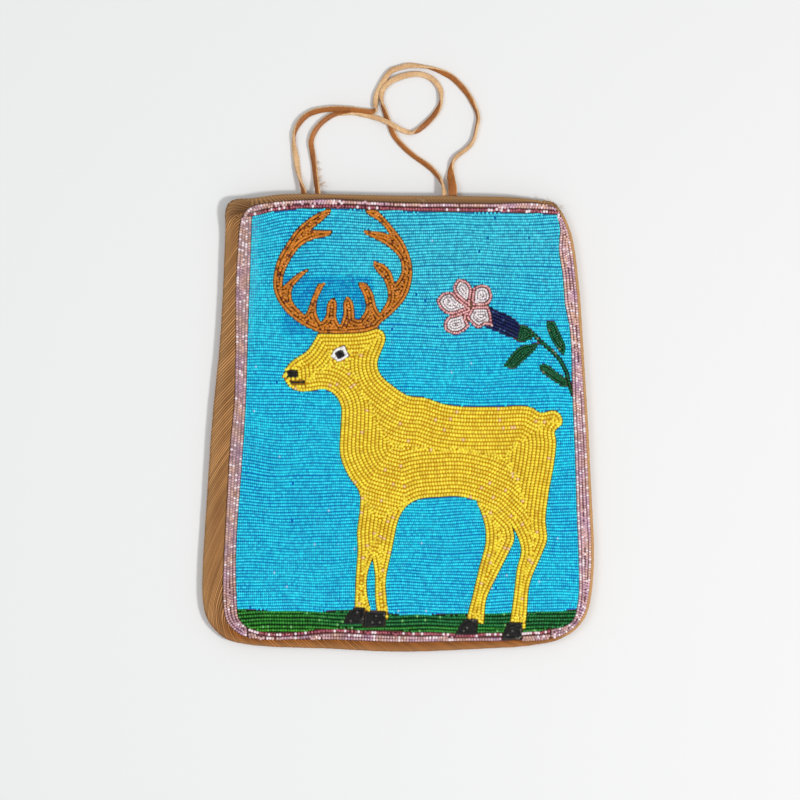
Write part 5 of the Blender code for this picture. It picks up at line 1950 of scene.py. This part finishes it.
INNER_ROUTE = [
    (-48.5, 130.0, 5.2, 3.6, 40), (-48.5, 134.5, 5.2, 4.0, 45), (-48.8, 140.3, 5.0, 4.2, 50),
    (-49.9, 148.0, 2.6, 3.8, 46), (-50.8, 156.0, 1.5, 3.5, 36), (-52.0, 164.1, 1.4, 3.3, 15),
    (-52.9, 172.0, 1.4, 3.2, -8), (-49.6, 179.6, 1.4, 3.3, -22), (-43.4, 185.6, 1.3, 3.3, -20),
    (-36.0, 188.8, 1.1, 3.2, 10), (-26.2, 188.6, 1.1, 3.0, 100), (-17.1, 187.0, 1.3, 3.1, 175),
    (-10.0, 184.8, 2.7, 3.1, 180), (-4.6, 182.2, 3.6, 3.2, 185), (1.4, 178.9, 2.5, 3.2, 190),
    (5.4, 177.4, 1.4, 3.0, 205), (8.7, 177.0, 1.4, 2.8, 250), (11.9, 178.2, 1.4, 3.0, 320),
    (17.1, 182.4, 1.3, 3.6, 360), (22.8, 188.6, 1.4, 3.4, 380), (26.0, 195.2, 1.5, 3.1, 430),
    (26.0, 202.6, 1.4, 3.2, 505), (21.6, 209.0, 1.3, 3.4, 538), (15.2, 212.2, 1.2, 3.5, 540),
    (8.5, 212.6, 1.2, 3.5, 540), (0.6, 210.6, 1.3, 3.4, 540), (-5.8, 207.2, 1.7, 3.2, 545),
    (-9.6, 202.3, 2.0, 3.1, 565), (-9.9, 196.2, 2.0, 3.0, 620), (-7.9, 189.6, 1.6, 3.3, 678),
    (-4.8, 181.2, 1.2, 3.4, 684), (-1.8, 174.5, 1.3, 3.4, 686), (3.4, 168.4, 1.4, 3.4, 688),
    (10.2, 162.5, 1.4, 3.4, 692), (18.7, 156.5, 1.5, 3.4, 688), (24.0, 151.0, 2.0, 3.6, 670),
    (27.0, 145.5, 4.0, 3.8, 635), (28.2, 140.0, 5.1, 4.2, 600), (28.2, 134.5, 5.2, 4.2, 590),
    (28.2, 130.0, 5.2, 3.8, 590),
]


@dataclass(frozen=True)
class Tuft:
    """A few loose fibres at one place, in metres, with the direction that they point in."""

    place: tuple[float, float, float]
    turn: float
    length: float
    count: int
    spread: float


@dataclass
class LooseFibres:
    """Short loose fibres: the fuzz of a thong, frayed cloth or bare thread."""

    name: str
    slot: str
    tufts: tuple[Tuft, ...]
    thickness: float = 0.00022
    joints: int = 6
    sides: int = 4
    wander: float = 0.35

    def build(self, thread: bpy.types.Material) -> bpy.types.Object:
        """Makes and dresses the fibres.

        Args:
            thread: The material.

        Returns:
            The piece.
        """
        chance = np.random.default_rng(len(self.tufts))
        rings, count = [], 0
        angles = np.arange(self.sides) * 2 * math.pi / self.sides
        for tuft in self.tufts:
            for _ in range(tuft.count):
                turn = math.radians(tuft.turn) + chance.normal(0.0, tuft.spread)
                bends = turn + np.cumsum(chance.normal(0.0, self.wander, self.joints)) * tuft.spread
                step = tuft.length * chance.uniform(0.5, 1.0) / (self.joints - 1)
                start = np.array(tuft.place) + [*chance.normal(0.0, 0.0005, 2), 0.0]
                flat = np.stack([np.cos(bends), np.sin(bends), np.zeros(self.joints)], axis=1)
                line = start + np.cumsum(flat, axis=0) * step
                line[:, 2] += chance.uniform(0.0, 0.0003)
                across = np.stack([-flat[:, 1], flat[:, 0], flat[:, 2]], axis=1)
                girth = np.linspace(1.0, 0.45, self.joints) * self.thickness / 2
                ring = across[:, None] * np.cos(angles)[None, :, None]
                ring = ring + np.array([0.0, 0.0, 1.0]) * np.sin(angles)[None, :, None]
                rings.append(line[:, None] + ring * girth[:, None, None])
                count += 1
        starts = (np.arange(count) * self.joints * self.sides)[:, None, None]
        groups = [
            (part[None] + starts).reshape(-1, part.shape[1]) for part in tube_faces(self.sides, self.joints)
        ]
        piece = new_piece(self.name, np.concatenate(rings).reshape(-1, 3), groups, thread)
        return dress(piece, None, f"{count} fibres")


FUZZ = (
    Tuft((-0.0496, 0.1585, 0.0014), 20.0, 0.0030, 7, 0.7),
    Tuft((-0.0490, 0.1538, 0.0018), -10.0, 0.0028, 7, 0.7),
    Tuft((-0.0486, 0.1492, 0.0028), -20.0, 0.0032, 9, 0.7),
    Tuft((-0.0482, 0.1452, 0.0042), 5.0, 0.0046, 12, 0.6),
)
FRAY = (
    Tuft((0.0118, 0.1372, 0.0103), -48.0, 0.0058, 4, 0.25),
    Tuft((0.0152, 0.1366, 0.0103), -62.0, 0.0046, 3, 0.25),
    Tuft((0.0912, 0.1330, 0.0098), 30.0, 0.0042, 5, 0.6),
    Tuft((0.0964, 0.1312, 0.0092), -40.0, 0.0046, 6, 0.7),
)
# Bare sewing thread that shows between the rows of the grass.
BARE_THREAD = (
    Tuft((-0.0968, -0.1157, 0.0081), 0.0, 0.0160, 2, 0.03),
    Tuft((-0.0850, -0.1194, 0.0079), 2.0, 0.0140, 2, 0.03),
    Tuft((-0.0720, -0.1224, 0.0079), 2.0, 0.0110, 2, 0.03),
)


# The studio


@dataclass
class Studio:
    """A pale floor, soft light and the camera that looks straight down."""

    camera_height: float = 2.0
    view_x: float = 0.0012
    view_y: float = 0.0140
    frame_width: float = 0.488
    sensor: float = 36.0
    floor_size: float = 8.0
    key_power: float = 29.0
    fill_power: float = 6.5
    world_strength: float = 0.52
    mirrored_strength: float = 0.12

    def add_camera(self) -> None:
        """Places the camera above the bag."""
        camera = bpy.data.cameras.new("camera")
        camera.sensor_width = self.sensor
        camera.lens = self.camera_height * self.sensor / self.frame_width
        holder = bpy.data.objects.new("camera", camera)
        holder.location = (self.view_x, self.view_y, self.camera_height)
        bpy.context.scene.collection.objects.link(holder)
        bpy.context.scene.camera = holder

    def add_light(self, name: str, place: tuple[float, float, float], size: float, power: float) -> None:
        """Places a soft light that points at the bag.

        Args:
            name: The light's name.
            place: Where it stands.
            size: The width of its surface.
            power: Its power in watts.
        """
        light = bpy.data.lights.new(name, "AREA")
        light.shape = "DISK"
        light.size = size
        light.energy = power
        holder = bpy.data.objects.new(name, light)
        holder.location = place
        holder.rotation_euler = (-Vector(place)).to_track_quat("-Z", "Y").to_euler()
        bpy.context.scene.collection.objects.link(holder)

    def add_floor(self) -> None:
        """Lays the pale floor that the bag rests on."""
        half = self.floor_size / 2
        points = np.array([(-half, -half, 0.0), (half, -half, 0.0), (half, half, 0.0), (-half, half, 0.0)])
        floor = new_piece("floor", points, [np.array([[0, 1, 2, 3]])], PaleGround("pale_ground").material())

    def add_world(self) -> None:
        """Lights the scene evenly, with a pale background where nothing else is seen."""
        world = bpy.data.worlds.new("studio")
        world.use_nodes = True
        bpy.context.scene.world = world
        nodes, links = world.node_tree.nodes, world.node_tree.links
        background = nodes["Background"]
        background.inputs["Color"].default_value = (1.0, 1.0, 1.0, 1.0)
        path = nodes.new("ShaderNodeLightPath")
        strength = nodes.new("ShaderNodeMix")
        strength.inputs["A"].default_value = self.world_strength
        strength.inputs["B"].default_value = self.mirrored_strength
        links.new(path.outputs["Is Glossy Ray"], strength.inputs["Factor"])
        seen = nodes.new("ShaderNodeMix")
        seen.inputs["B"].default_value = 0.86
        links.new(path.outputs["Is Camera Ray"], seen.inputs["Factor"])
        links.new(strength.outputs["Result"], seen.inputs["A"])
        links.new(seen.outputs["Result"], background.inputs["Strength"])

    def build(self) -> None:
        """Sets up the studio."""
        bpy.context.scene.view_settings.view_transform = "Standard"
        self.add_camera()
        self.add_light("key", (1.35, -0.4, 1.75), 0.36, self.key_power)
        self.add_light("fill", (-0.9, 0.2, 1.6), 0.9, self.fill_power)
        self.add_floor()
        self.add_world()
        LOG.info("studio: camera, two lights and floor")


def main() -> None:
    """Builds the studio and every piece of the bag in order."""
    logging.basicConfig(level=logging.INFO, format="%(message)s")
    Studio().build()
    leather = ThongLeather("thong_leather").material()
    for node, route in (("handle_outer", OUTER_ROUTE), ("handle_inner", INNER_ROUTE)):
        Handle(node, route).build(leather)
    form = BagForm()
    cloth = RibbedCloth("ribbed_cloth").material()
    ClothShell().build(form, cloth)
    MouthHem().build(form, cloth)
    CanvasPanel().build(form, CanvasCloth("canvas_cloth").material())
    BeadedFront().build(form)
    thread = Thread("pale_thread").material()
    LooseFibres("leather_fuzz", "leather", FUZZ).build(thread)
    LooseFibres("cloth_fray", "brown_cloth", FRAY).build(thread)
    LooseFibres("bare_thread", "canvas", BARE_THREAD, 0.0006).build(thread)


if __name__ == "__main__":
    main()
